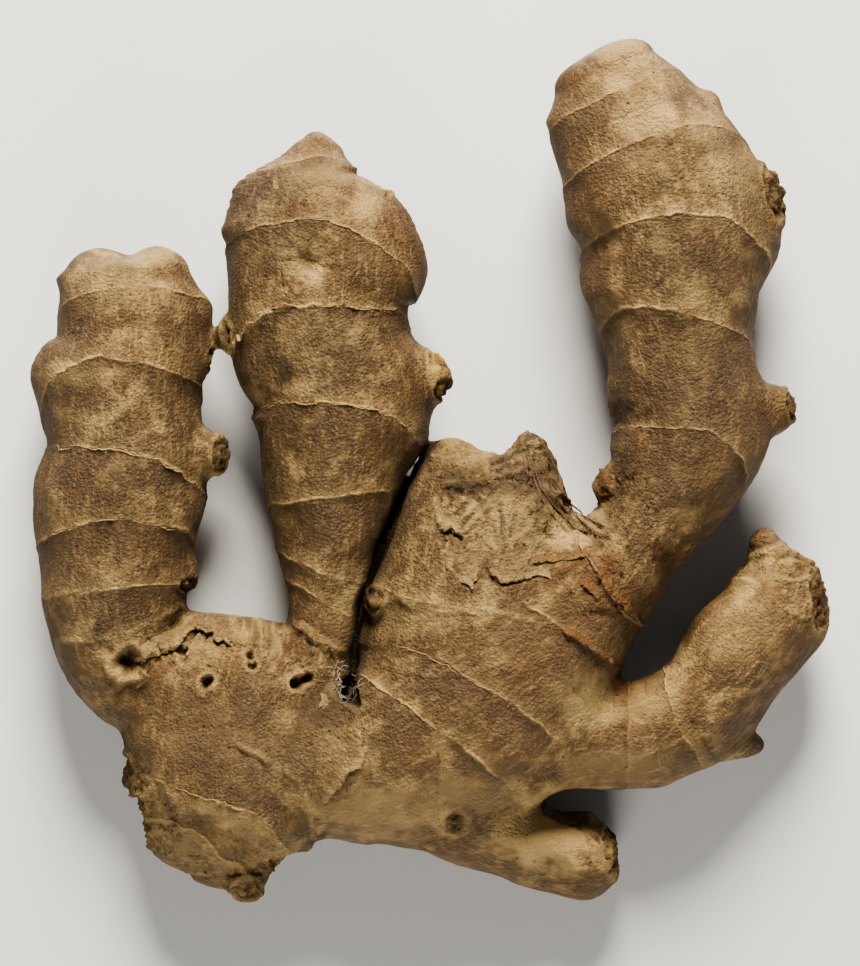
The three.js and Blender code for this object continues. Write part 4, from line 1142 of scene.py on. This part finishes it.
class Sheets:
    """Thin sheets and strands gathered into one mesh, each point with its red, papery and pale shares."""

    def __init__(self):
        self.points, self.faces, self.stains = [], [], []

    def grid(self, rows, stains):
        """Joins rows of points into a sheet, with one stain for each point of a row."""
        n, m = len(rows), len(rows[0])
        start = len(self.points)
        self.points.extend(p for row in rows for p in row)
        self.stains.extend(list(stains) * n)
        for i in range(n - 1):
            for j in range(m - 1):
                a = start + i * m + j
                self.faces.append((a, a + 1, a + m + 1, a + m))

    def strand(self, path, radii, tint, sides=5):
        """A thin round strand along a path, with its ends drawn to a point."""
        path = np.array(path)
        rows = []
        heading = np.gradient(path, axis=0)
        for p, t, r in zip(path, heading, radii):
            t = t / max(np.linalg.norm(t), 1e-9)
            a = np.cross(t, (0.3, 0.2, 1))
            a /= np.linalg.norm(a)
            b = np.cross(t, a)
            turns = [2 * math.pi * k / sides for k in range(sides + 1)]
            rows.append([p + r * (math.cos(w) * a + math.sin(w) * b) for w in turns])
        self.grid(rows, [(tint, 0, 0)] * (sides + 1))

    def mesh(self, name, thickness=0.0):
        points = inside_root(np.array(self.points))
        mesh = new_mesh(name, points, self.faces)
        add_values(mesh, "stain", np.array(self.stains, float))
        add_values(mesh, "grain", points * MM)
        if thickness:
            mesh = applied(mesh, "SOLIDIFY", thickness=thickness * MM, offset=0)
        return mesh


def spread(points, count):
    """Points spread evenly along a line."""
    points = np.array(points, float)
    along = np.concatenate([[0], np.cumsum(np.linalg.norm(np.diff(points, axis=0), axis=1))])
    at = np.linspace(0, along[-1], count)
    return np.stack([np.interp(at, along, points[:, k]) for k in range(points.shape[1])], 1)


def line_length(points):
    return np.linalg.norm(np.diff(np.array(points, float), axis=0), axis=1).sum()


def flap(sheets, surface, lift, ragged, red, hinge, edge, seed):
    """A flap of loose skin, grown on at its hinge and lifted at its ragged free edge."""
    count = max(6, int(line_length(edge) / SHEET_STEP))
    hinge, edge = spread(hinge, count), spread(edge, count)
    where = np.concatenate([edge, np.full((count, 1), seed * 3.7)], 1)
    tear = ragged * (noise_at(where, 1.3, 31) + 0.8 * noise_at(where, 0.5, 32))
    high = lift * np.clip(0.75 + 1.1 * noise_at(where, 1.8, 33) + 0.5 * noise_at(where, 0.6, 34), 0.1, 1.7)
    ends = np.minimum(np.arange(count), np.arange(count)[::-1]) * SHEET_STEP
    high *= smooth_step(ends, 0, 1.0)
    sink = 0.2 * (1 - smooth_step(ends, 0, 0.7))
    steps = max(4, int(np.linalg.norm(edge - hinge, axis=1).mean() / FLAP_ROW) + 1)
    rows = []
    for i in range(count):
        across = (edge[i] - hinge[i]) / max(np.linalg.norm(edge[i] - hinge[i]), 1e-6)
        row = []
        for f in np.linspace(0, 1, steps):
            x, y = hinge[i] + f * (edge[i] - hinge[i] + across * tear[i])
            point, normal = surface.below(x, y)
            rise = -0.15 + 0.19 * float(smooth_step(f, 0, 0.5)) - sink[i] + high[i] * f ** 2.2
            row.append(point + normal * rise)
        rows.append(row)
    sheets.grid(rows, [(red, 0.5, 0.7 * max(0.0, 3 * f - 2)) for f in np.linspace(0, 1, steps)])


def ring_margin(sheets, surface, lobe, ring, first, last, high):
    """The torn papery margin of a leaf that still stands on a ring."""
    at, lean, left, _, ragged = lobes[lobe].rings[ring]
    lobe = lobes[lobe]
    rows = []
    count = int(math.radians(abs(last - first)) * MARGIN_RADIUS / SHEET_STEP)
    for angle in np.linspace(math.radians(first), math.radians(last), count):
        s = at + lean * math.cos(angle) + left * math.sin(angle)
        start = lobe.skin_point(s, angle)
        s += ring_wobble(start[None])[0] * ring_stray(ragged)
        here, ahead = lobe.skin_point(s, angle), lobe.skin_point(s + 0.5, angle)
        point, normal = surface.nearest(here)
        toward = ahead - here
        toward -= normal * (toward @ normal)
        toward /= max(np.linalg.norm(toward), 1e-6)
        q = point[None]
        stand = 0.35 + 1.2 * noise_at(q, 2.6, 41)[0] + 0.9 * noise_at(q, 0.8, 42)[0]
        stand = high * float(np.clip(stand, -0.3, 1.5))
        curl = 0.3 + 1.5 * noise_at(q, 3.5, 43)[0]
        fade = min(1, 6 * min(angle - math.radians(first), math.radians(last) - angle))
        row = []
        for f in (0, 0.35, 0.7, 1):
            rise = -0.2 + (stand * fade + 0.2) * f
            row.append(point + normal * rise + toward * (0.1 - 0.25 * f + curl * stand * f * f))
        rows.append(row)
    sheets.grid(rows, [(0.1, 0.3, 0.2), (0.1, 0.3, 0.4), (0.1, 0.3, 0.7), (0.1, 0.3, 0.9)])


def peeled_scales(surface):
    """All loose flaps and standing leaf margins as one mesh."""
    sheets = Sheets()
    for seed, (lift, ragged, red, hinge, edge) in enumerate(FLAPS):
        flap(sheets, surface, lift, ragged, red, hinge, edge, seed)
    for margin in MARGINS:
        ring_margin(sheets, surface, *margin)
    return sheets.mesh("papery_scales", SHEET_THICKNESS)


def stem_strands(surface, rng):
    """Dry strands that fan down the right side of the broken stem."""
    sheets = Sheets()
    for line in STRANDS:
        shift = rng.normal(0, 0.3, 2)
        path = spread(np.array(line) + shift, 22)
        path += rng.normal(0, 0.06, path.shape)
        rise = 0.18 * rng.random() * np.sin(np.linspace(0, math.pi, len(path)))
        points = []
        for (x, y), h in zip(path, rise):
            point, normal = surface.below(x, y)
            points.append(point + normal * h)
        radii = rng.uniform(0.1, 0.18) * np.sin(np.linspace(0.05, math.pi - 0.05, len(path))) ** 0.5
        sheets.strand(points, radii, rng.random())
    return sheets.mesh("stem_strands")


def pit_hairs(surface, rng):
    """Fine root hairs in the deepest pit and at the crevice's foot."""
    sheets = Sheets()
    for x, y, spread_out, count in TUFTS:
        for _ in range(count):
            at = np.array([x, y]) + rng.normal(0, spread_out * 0.6, 2)
            point, normal = surface.below(*at)
            length = rng.uniform(1.2, 3.4)
            direction = rng.normal(0, 1, 3) * (1, 1, 0.3) + (0, 0, 0.25)
            direction /= np.linalg.norm(direction)
            bend = np.cross(direction, rng.normal(0, 1, 3)) * rng.uniform(0.2, 0.9)
            path = [point + (0, 0, 0.2) + length * (t - 0.3) * direction + length * bend * (t - 0.5) ** 2
                    for t in np.linspace(0, 1, 9)]
            radii = rng.uniform(0.04, 0.075) * np.sin(np.linspace(0.1, math.pi - 0.1, 9)) ** 0.5
            sheets.strand(path, radii, 0.75 + 0.25 * rng.random(), 4)
    return sheets.mesh("root_hairs")


class Wiring:
    """Places shader nodes in a node tree and links them."""

    def __init__(self, tree):
        self.tree = tree

    def node(self, kind, inputs=(), **settings):
        made = self.tree.nodes.new(kind)
        for name, value in settings.items():
            setattr(made, name, value)
        for key, value in dict(inputs).items():
            self.feed(made, key, value)
        return made

    def feed(self, node, key, value):
        """Sets a socket to a value, or links it from another socket."""
        if isinstance(value, bpy.types.NodeSocket):
            self.tree.links.new(value, node.inputs[key])
        else:
            node.inputs[key].default_value = value

    def math(self, operation, a, b=0.0, clamp=False):
        return self.node("ShaderNodeMath", {0: a, 1: b}, operation=operation, use_clamp=clamp).outputs[0]

    def split(self, vector):
        return self.node("ShaderNodeSeparateXYZ", {0: vector}).outputs

    def attribute(self, name):
        return self.node("ShaderNodeAttribute", attribute_name=name)

    def noise(self, vector, scale, detail=2.0, roughness=0.5):
        made = self.node("ShaderNodeTexNoise", {"Vector": vector, "Scale": scale, "Detail": detail,
                                                "Roughness": roughness})
        return made.outputs["Fac"]

    def ranged(self, value, low, high, to_low=0.0, to_high=1.0):
        keys = ("Value", "From Min", "From Max", "To Min", "To Max")
        values = dict(zip(keys, (value, low, high, to_low, to_high)))
        return self.node("ShaderNodeMapRange", values, clamp=True).outputs[0]

    def mixed(self, share, a, b):
        """One colour with a share of another."""
        return self.node("ShaderNodeMix", {0: share, 6: a, 7: b}, data_type="RGBA").outputs[2]

    def bell(self, value, centre, half):
        """One at the centre, falling away on both sides."""
        away = self.math("DIVIDE", self.math("SUBTRACT", value, centre), half)
        return self.math("POWER", math.e, self.math("MULTIPLY", self.math("MULTIPLY", away, away), -1.0))


def rgba(colour):
    return (*colour, 1.0)


def rind_grain_group():
    """The rind's own grain: fibres along the finger, pebbles, specks and slow blotches."""
    if "Rind Grain" in bpy.data.node_groups:
        return bpy.data.node_groups["Rind Grain"]
    group = bpy.data.node_groups.new("Rind Grain", "ShaderNodeTree")
    for name in ("Position", "Along Fibres"):
        group.interface.new_socket(name, in_out="INPUT", socket_type="NodeSocketVector")
    group.interface.new_socket("Pebble Scale", in_out="INPUT", socket_type="NodeSocketFloat")
    for name in ("Blotch", "Fibre", "Speck", "Height"):
        group.interface.new_socket(name, in_out="OUTPUT", socket_type="NodeSocketFloat")
    w = Wiring(group)
    source = w.node("NodeGroupInput").outputs
    position, fibres, size = source["Position"], source["Along Fibres"], source["Pebble Scale"]
    blotch = w.noise(position, 80.0, 6.0, 0.6)
    fibre = w.noise(fibres, 1300.0, 4.0, 0.6)
    cells = w.node("ShaderNodeTexVoronoi", {"Vector": position, "Scale": size})
    pebble = w.ranged(cells.outputs["Distance"], 0.065, 0.965)
    speck_cells = w.node("ShaderNodeTexVoronoi", {"Vector": position, "Scale": 700.0})
    near = w.ranged(speck_cells.outputs["Distance"], 0.08, 0.24, 1.0, 0.0)
    chance = w.ranged(w.split(speck_cells.outputs["Color"])[0], 0.8, 0.84)
    speck = w.math("MULTIPLY", near, chance)
    fine = w.noise(position, 3000.0, 3.0, 0.6)
    coarse = w.noise(position, 1100.0, 4.0, 0.65)
    height = w.math("ADD", w.math("MULTIPLY", fibre, 0.25), w.math("MULTIPLY", pebble, -0.42))
    height = w.math("ADD", height, w.math("MULTIPLY", fine, 0.8))
    height = w.math("ADD", height, w.math("MULTIPLY", coarse, 0.4))
    patchy = w.ranged(w.noise(position, 170.0, 3.0, 0.5), 0.35, 0.62, 0.65, 1.2)
    height = w.math("MULTIPLY", height, patchy)
    height = w.math("ADD", height, w.math("MULTIPLY", speck, -0.3))
    sink = w.node("NodeGroupOutput")
    for name, value in (("Blotch", blotch), ("Fibre", fibre), ("Speck", speck), ("Height", height)):
        w.feed(sink, name, value)
    return group


def new_material(name):
    material = bpy.data.materials.new(name)
    material.use_nodes = True
    material.node_tree.nodes.clear()
    w = Wiring(material.node_tree)
    shader = w.node("ShaderNodeBsdfPrincipled")
    w.node("ShaderNodeOutputMaterial", {"Surface": shader.outputs[0]})
    return material, w, shader


def grain_in(w, position, fibres, pebble_scale):
    rind = w.node("ShaderNodeGroup", node_tree=rind_grain_group())
    w.feed(rind, "Position", position)
    w.feed(rind, "Along Fibres", fibres)
    w.feed(rind, "Pebble Scale", pebble_scale)
    return rind.outputs


def skin_material(colours):
    """The rind: tan skin with fibres and specks, pale ring crests and stains, with painted shade in the
    crevices, below the rings and on the flanks, and painted light on the tip side of the rings.
    """
    material, w, shader = new_material("Ginger Skin")
    position = w.node("ShaderNodeTexCoord").outputs["Object"]
    grain = w.attribute("grain").outputs["Vector"]
    offset = w.attribute("ring").outputs["Fac"]
    strength = w.attribute("ring_strength").outputs["Fac"]
    red, paper, pale = w.split(w.attribute("stain").outputs["Vector"])[:3]
    dark, cleft, crust = w.split(w.attribute("dirt_and_shade").outputs["Vector"])[:3]
    out = grain_in(w, position, grain, 1700.0)
    colour = w.mixed(w.ranged(out["Blotch"], 0.3, 0.58), rgba(colours.shade), rgba(colours.tan))
    mottle = w.ranged(w.noise(position, 260.0, 5.0, 0.65), 0.56, 0.38, 0.0, 0.6)
    colour = w.mixed(mottle, colour, rgba(colours.shade))
    worn = w.ranged(w.noise(position, 210.0, 5.0, 0.65), 0.5, 0.7, 0.0, 0.55)
    colour = w.mixed(worn, colour, rgba(colours.pale))
    warm = w.ranged(w.noise(position, 35.0, 5.0, 0.6), 0.45, 0.65, 0.0, 0.7)
    colour = w.mixed(warm, colour, rgba(colours.warm))
    colour = w.mixed(w.ranged(out["Fibre"], 0.52, 0.75, 0.0, 0.35), colour, rgba(colours.pale))
    colour = w.mixed(w.ranged(out["Fibre"], 0.48, 0.25, 0.0, 0.45), colour, rgba(colours.dark))
    grit = w.ranged(w.noise(position, 1700.0, 4.0, 0.7), 0.5, 0.3, 0.0, 0.7)
    colour = w.mixed(grit, colour, rgba(colours.dark))
    colour = w.mixed(w.math("MULTIPLY", paper, 0.7), colour, rgba(colours.papery))
    # Pale marks, partly painted light on lit patches.
    colour = w.mixed(w.math("MULTIPLY", pale, 0.6), colour, rgba(colours.pale))
    # Painted shade on the base side of each ring, and painted light on its tip side.
    below = w.math("MULTIPLY", w.ranged(offset, -8.0, -0.4, 0.0, 0.6), w.ranged(offset, 0.2, -0.2))
    colour = w.mixed(w.math("MULTIPLY", below, w.ranged(strength, 0.1, 0.8)), colour, rgba(colours.shade))
    painted_tip_side_light = w.math("MULTIPLY", w.ranged(offset, 3.0, 0.1, 0.0, 0.12), w.ranged(offset, -0.1, 0.1))
    colour = w.mixed(painted_tip_side_light, colour, rgba(colours.pale))
    uneven = w.ranged(w.noise(position, 420.0, 4.0, 0.6), 0.3, 0.55, 0.2, 1.6)
    stained = w.math("MULTIPLY", red, uneven, clamp=True)
    colour = w.mixed(w.math("MULTIPLY", stained, 0.9), colour, rgba(colours.stain))
    crumbly = w.ranged(w.noise(position, 700.0, 5.0, 0.7), 0.52, 0.4)
    colour = w.mixed(w.math("MULTIPLY", w.math("MULTIPLY", crust, crumbly), 0.7), colour, rgba(colours.dark))
    broken = w.ranged(w.noise(position, 420.0, 4.0, 0.65), 0.38, 0.62)
    crest = w.math("MULTIPLY", w.math("MULTIPLY", w.bell(offset, 0.1, 0.2), strength), broken, clamp=True)
    colour = w.mixed(w.math("MULTIPLY", crest, 0.7), colour, rgba(colours.pale))
    # Painted shadow under each ring crest, which the bump also presses in.
    under = w.math("MULTIPLY", w.math("MULTIPLY", w.bell(offset, -0.4, 0.25), strength), broken, clamp=True)
    colour = w.mixed(w.math("MULTIPLY", under, 0.15), colour, rgba(colours.dark))
    yellow = w.attribute("yellow").outputs["Fac"]
    colour = w.mixed(w.math("MULTIPLY", yellow, 0.75), colour, rgba(colours.yellow))
    colour = w.mixed(w.math("MULTIPLY", out["Speck"], 0.7), colour, rgba(colours.dirt_and_shade))
    # Dark marks, partly painted shade in grooves, troughs and at torn steps.
    colour = w.mixed(w.math("MULTIPLY", dark, 0.9), colour, rgba(colours.dirt_and_shade))
    # Painted shade in the crevice.
    colour = w.mixed(w.math("MULTIPLY", cleft, 0.9), colour, rgba(colours.dirt_and_shade))
    # Painted shade on the flanks; the same mask raises the roughness below.
    painted_flank_shade = w.attribute("painted_flank_shade").outputs["Fac"]
    colour = w.mixed(w.math("MULTIPLY", painted_flank_shade, 0.55), colour, rgba(colours.dark))
    w.feed(shader, "Base Color", colour)
    rough = w.ranged(out["Blotch"], 0.3, 0.7, 0.38, 0.52)
    rough = w.math("ADD", rough, w.math("MULTIPLY", dark, 0.2))
    rough = w.math("ADD", rough, w.math("MULTIPLY", crust, 0.2))
    rough = w.math("ADD", rough, w.math("MULTIPLY", painted_flank_shade, 0.4), clamp=True)
    w.feed(shader, "Roughness", rough)
    shader.inputs["Specular IOR Level"].default_value = 0.24
    shader.inputs["Specular Tint"].default_value = rgba(colours.sheen)
    height = w.math("ADD", out["Height"], w.math("MULTIPLY", crest, 0.8))
    height = w.math("SUBTRACT", height, w.math("MULTIPLY", under, 0.3))
    bump = w.node("ShaderNodeBump", {"Strength": 1.0, "Distance": 0.00055, "Height": height})
    w.feed(shader, "Normal", bump.outputs[0])
    return material


def strand_material(name, low, high, roughness):
    """Dry strands, from one colour to another by their tint."""
    material, w, shader = new_material(name)
    shader.inputs["Specular IOR Level"].default_value = 0.2
    position = w.node("ShaderNodeTexCoord").outputs["Object"]
    tint = w.split(w.attribute("stain").outputs["Vector"])[0]
    out = grain_in(w, position, position, 1400.0)
    colour = w.mixed(tint, rgba(low), rgba(high))
    colour = w.mixed(w.ranged(out["Fibre"], 0.5, 0.3, 0.0, 0.6), colour, rgba(low))
    w.feed(shader, "Base Color", colour)
    w.feed(shader, "Roughness", w.ranged(out["Blotch"], 0.3, 0.7, roughness, roughness + 0.15))
    bump = w.node("ShaderNodeBump", {"Strength": 0.5, "Distance": 0.0002, "Height": out["Fibre"]})
    w.feed(shader, "Normal", bump.outputs[0])
    return material


def floor_material(colour):
    """A plain pale studio floor with the faintest mottle."""
    material, w, shader = new_material("Pale Floor")
    position = w.node("ShaderNodeTexCoord").outputs["Object"]
    mottle = w.noise(position, 30.0, 3.0, 0.5)
    w.feed(shader, "Base Color", w.mixed(mottle, rgba(colour), rgba([c * 0.985 for c in colour])))
    shader.inputs["Roughness"].default_value = 0.85
    shader.inputs["Specular IOR Level"].default_value = 0.2
    return material


def new_piece(name, mesh, material):
    """Puts a mesh in the scene as a piece that rides with the root."""
    piece = bpy.data.objects.new(name, mesh)
    bpy.context.scene.collection.objects.link(piece)
    mesh.materials.clear()
    mesh.materials.append(material)
    mesh.polygons.foreach_set("use_smooth", [True] * len(mesh.polygons))
    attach(piece, "root")
    return piece


def grown_piece():
    """The skin, which the other pieces grow on."""
    if "rhizome_skin" not in bpy.data.objects:
        raise RuntimeError("the skin is grown first")
    return bpy.data.objects["rhizome_skin"]


class GingerColours(bpy.types.PropertyGroup):
    """Colours of the rind."""

    tan: bpy.props.FloatVectorProperty(
        name="Tan", description="Main colour of the skin", subtype="COLOR", default=(0.083, 0.0445, 0.0128))
    # Also painted shade on the base side of each ring.
    shade: bpy.props.FloatVectorProperty(
        name="Shade", description="Darker brown blotches", subtype="COLOR", default=(0.036, 0.017, 0.005))
    warm: bpy.props.FloatVectorProperty(
        name="Warm", description="Warmer patches", subtype="COLOR", default=(0.064, 0.026, 0.0055))
    # Also painted light on the tip side of each ring and on lit patches.
    pale: bpy.props.FloatVectorProperty(
        name="Pale", description="Ring crests and rims", subtype="COLOR", default=(0.46, 0.3, 0.102))
    # Also painted shade on the flanks and under the ring crests.
    dark: bpy.props.FloatVectorProperty(
        name="Dark", description="Fibres, grit and flanks", subtype="COLOR", default=(0.021, 0.0095, 0.0037))
    # Also painted shade in the crevice, in grooves, in troughs and at torn steps.
    dirt_and_shade: bpy.props.FloatVectorProperty(
        name="Dirt", description="Pits and crevices", subtype="COLOR", default=(0.008, 0.0045, 0.0022))
    stain: bpy.props.FloatVectorProperty(
        name="Stain", description="Red-brown stains", subtype="COLOR", default=(0.058, 0.0185, 0.002))
    sheen: bpy.props.FloatVectorProperty(
        name="Sheen", description="Tint of the glints", subtype="COLOR", default=(1.0, 0.82, 0.6))
    yellow: bpy.props.FloatVectorProperty(
        name="Yellow", description="Fresh bud tips", subtype="COLOR", default=(0.30, 0.18, 0.018))
    papery: bpy.props.FloatVectorProperty(
        name="Papery", description="Loose papery skin", subtype="COLOR", default=(0.115, 0.069, 0.029))


class GingerSkin(bpy.types.PropertyGroup):
    """Sizes of the skin."""

    cell: bpy.props.FloatProperty(
        name="Cell", description="Spacing of the lattice that the skin is drawn over", unit="LENGTH",
        default=0.45 * MM)


class GingerFibres(bpy.types.PropertyGroup):
    """Dry strands and root hairs."""

    seed: bpy.props.IntProperty(name="Seed", description="Sets how the strands fall", default=7)
    strand_low: bpy.props.FloatVectorProperty(
        name="Strand Dark", description="Darkest strands of the broken stem", subtype="COLOR",
        default=(0.03, 0.015, 0.007))
    strand_high: bpy.props.FloatVectorProperty(
        name="Strand Light", description="Lightest strands of the broken stem", subtype="COLOR",
        default=(0.07, 0.035, 0.013))
    hair_low: bpy.props.FloatVectorProperty(
        name="Hair Dark", description="Darkest root hairs", subtype="COLOR", default=(0.12, 0.07, 0.035))
    hair_high: bpy.props.FloatVectorProperty(
        name="Hair Light", description="Lightest root hairs", subtype="COLOR", default=(0.22, 0.18, 0.13))


class GingerStage(bpy.types.PropertyGroup):
    """Floor, light and camera."""

    floor_colour: bpy.props.FloatVectorProperty(
        name="Floor", description="Colour of the floor", subtype="COLOR", default=(0.64, 0.64, 0.63))
    floor_size: bpy.props.FloatProperty(
        name="Floor Size", description="Edge of the floor", unit="LENGTH", default=4.0)
    key_power: bpy.props.FloatProperty(
        name="Key Light", description="Power of the main light", unit="POWER", default=40.0)
    key_size: bpy.props.FloatProperty(
        name="Key Size", description="Width of the main light", unit="LENGTH", default=0.36)
    key_place: bpy.props.FloatVectorProperty(
        name="Key Place", description="Where the main light hangs", subtype="TRANSLATION", unit="LENGTH",
        default=(0.02, 0.67, 0.42))
    key_colour: bpy.props.FloatVectorProperty(
        name="Key Colour", description="Colour of the main light", subtype="COLOR", default=(1.0, 0.93, 0.81))
    fill_power: bpy.props.FloatProperty(
        name="Fill Light", description="Power of the soft light", unit="POWER", default=9.0)
    fill_size: bpy.props.FloatProperty(
        name="Fill Size", description="Width of the soft light", unit="LENGTH", default=0.5)
    fill_place: bpy.props.FloatVectorProperty(
        name="Fill Place", description="Where the soft light hangs", subtype="TRANSLATION", unit="LENGTH",
        default=(-0.05, -0.8, 0.36))
    fill_colour: bpy.props.FloatVectorProperty(
        name="Fill Colour", description="Colour of the soft light", subtype="COLOR",
        default=(1.0, 0.95, 0.88))
    room_colour: bpy.props.FloatVectorProperty(
        name="Room Colour", description="Colour of the pale room", subtype="COLOR", default=(0.95, 0.96, 1.0))
    room_strength: bpy.props.FloatProperty(
        name="Room Light", description="Light from the pale room", default=0.1)
    camera_height: bpy.props.FloatProperty(
        name="Camera Height", description="Camera above the root's middle", unit="LENGTH", default=0.7)
    frame_height: bpy.props.FloatProperty(
        name="Frame Height", description="Height of the picture at the root", unit="LENGTH", default=0.1546)
    frame_middle: bpy.props.FloatVectorProperty(
        name="Frame Middle", description="Middle of the picture", subtype="TRANSLATION", unit="LENGTH",
        default=(0.00016, -0.0019, 0.015))


class GingerSettings(bpy.types.PropertyGroup):
    """All settings of the ginger root."""

    colours: bpy.props.PointerProperty(type=GingerColours)
    skin: bpy.props.PointerProperty(type=GingerSkin)
    fibres: bpy.props.PointerProperty(type=GingerFibres)
    stage: bpy.props.PointerProperty(type=GingerStage)


class GINGER_OT_grow_skin(bpy.types.Operator):
    """Grow the root's fine skin in place of the plain solid"""

    bl_idname = "ginger.grow_skin"
    bl_label = "Grow Skin"

    def execute(self, context):
        settings = context.scene.ginger
        mesh = grown_skin(settings.skin.cell / MM)
        piece = new_piece("rhizome_skin", mesh, skin_material(settings.colours))
        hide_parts("ginger_root")
        return {"FINISHED"}


class GINGER_OT_peel_scales(bpy.types.Operator):
    """Add the loose flaps and leaf margins on the rings"""

    bl_idname = "ginger.peel_scales"
    bl_label = "Peel Scales"

    def execute(self, context):
        surface = Surface(grown_piece())
        new_piece("papery_scales", peeled_scales(surface), grown_piece().data.materials[0])
        return {"FINISHED"}


class GINGER_OT_lay_fibres(bpy.types.Operator):
    """Add the strands of the broken stem and the root hairs"""

    bl_idname = "ginger.lay_fibres"
    bl_label = "Lay Fibres"

    def execute(self, context):
        surface = Surface(grown_piece())
        fibres = context.scene.ginger.fibres
        rng = np.random.default_rng(fibres.seed)
        strands = strand_material("Stem Strand", fibres.strand_low, fibres.strand_high, 0.6)
        new_piece("stem_strands", stem_strands(surface, rng), strands)
        hairs = strand_material("Root Hair", fibres.hair_low, fibres.hair_high, 0.5)
        new_piece("root_hairs", pit_hairs(surface, rng), hairs)
        return {"FINISHED"}


def area_light(name, power, size, place, colour):
    """A round lamp that looks at the root."""
    data = bpy.data.lights.new(name, "AREA")
    data.energy = power
    data.color = colour
    data.shape = "DISK"
    data.size = size
    light = bpy.data.objects.new(name, data)
    light.location = place
    light.rotation_mode = "QUATERNION"
    light.rotation_quaternion = (Vector((0, 0, 0.01)) - Vector(place)).to_track_quat("-Z", "Y")
    bpy.context.scene.collection.objects.link(light)


class GINGER_OT_set_stage(bpy.types.Operator):
    """Lay the floor, set the lights and look straight down on the root"""

    bl_idname = "ginger.set_stage"
    bl_label = "Set Stage"

    def execute(self, context):
        stage = context.scene.ginger.stage
        half = stage.floor_size / 2
        mesh = bpy.data.meshes.new("floor")
        corners = [(-half, -half, 0), (half, -half, 0), (half, half, 0), (-half, half, 0)]
        mesh.from_pydata(corners, [], [(0, 1, 2, 3)])
        mesh.materials.append(floor_material(stage.floor_colour))
        floor = bpy.data.objects.new("floor", mesh)
        context.scene.collection.objects.link(floor)
        area_light("key_light", stage.key_power, stage.key_size, stage.key_place, stage.key_colour)
        area_light("fill_light", stage.fill_power, stage.fill_size, stage.fill_place, stage.fill_colour)
        world = bpy.data.worlds.new("pale_room")
        world.use_nodes = True
        background = world.node_tree.nodes["Background"]
        background.inputs["Color"].default_value = rgba(stage.room_colour)
        background.inputs["Strength"].default_value = stage.room_strength
        context.scene.world = world
        data = bpy.data.cameras.new("camera")
        data.sensor_width = 36.0
        data.lens = data.sensor_width * stage.camera_height / stage.frame_height
        data.clip_start = 0.01
        camera = bpy.data.objects.new("camera", data)
        camera.location = Vector(stage.frame_middle) + Vector((0, 0, stage.camera_height))
        context.scene.collection.objects.link(camera)
        context.scene.camera = camera
        return {"FINISHED"}


class VIEW3D_PT_ginger(bpy.types.Panel):
    """Lists the steps that dress the root"""

    bl_label = "Ginger Root"
    bl_space_type = "VIEW_3D"
    bl_region_type = "UI"
    bl_category = "Ginger"

    def draw(self, context):
        settings = context.scene.ginger
        for group in (settings.colours, settings.skin, settings.fibres, settings.stage):
            box = self.layout.box()
            for name in group.__annotations__:
                box.prop(group, name)
        for step in STEPS:
            self.layout.operator(step.bl_idname)


STEPS = (GINGER_OT_grow_skin, GINGER_OT_peel_scales, GINGER_OT_lay_fibres, GINGER_OT_set_stage)
CLASSES = (GingerColours, GingerSkin, GingerFibres, GingerStage, GingerSettings, *STEPS, VIEW3D_PT_ginger)


def register():
    for cls in CLASSES:
        bpy.utils.register_class(cls)
    bpy.types.Scene.ginger = bpy.props.PointerProperty(type=GingerSettings)


def unregister():
    del bpy.types.Scene.ginger
    for cls in reversed(CLASSES):
        bpy.utils.unregister_class(cls)


def main():
    register()
    bpy.ops.ginger.grow_skin()
    bpy.ops.ginger.peel_scales()
    bpy.ops.ginger.lay_fibres()
    bpy.ops.ginger.set_stage()


if __name__ == "__main__":
    main()
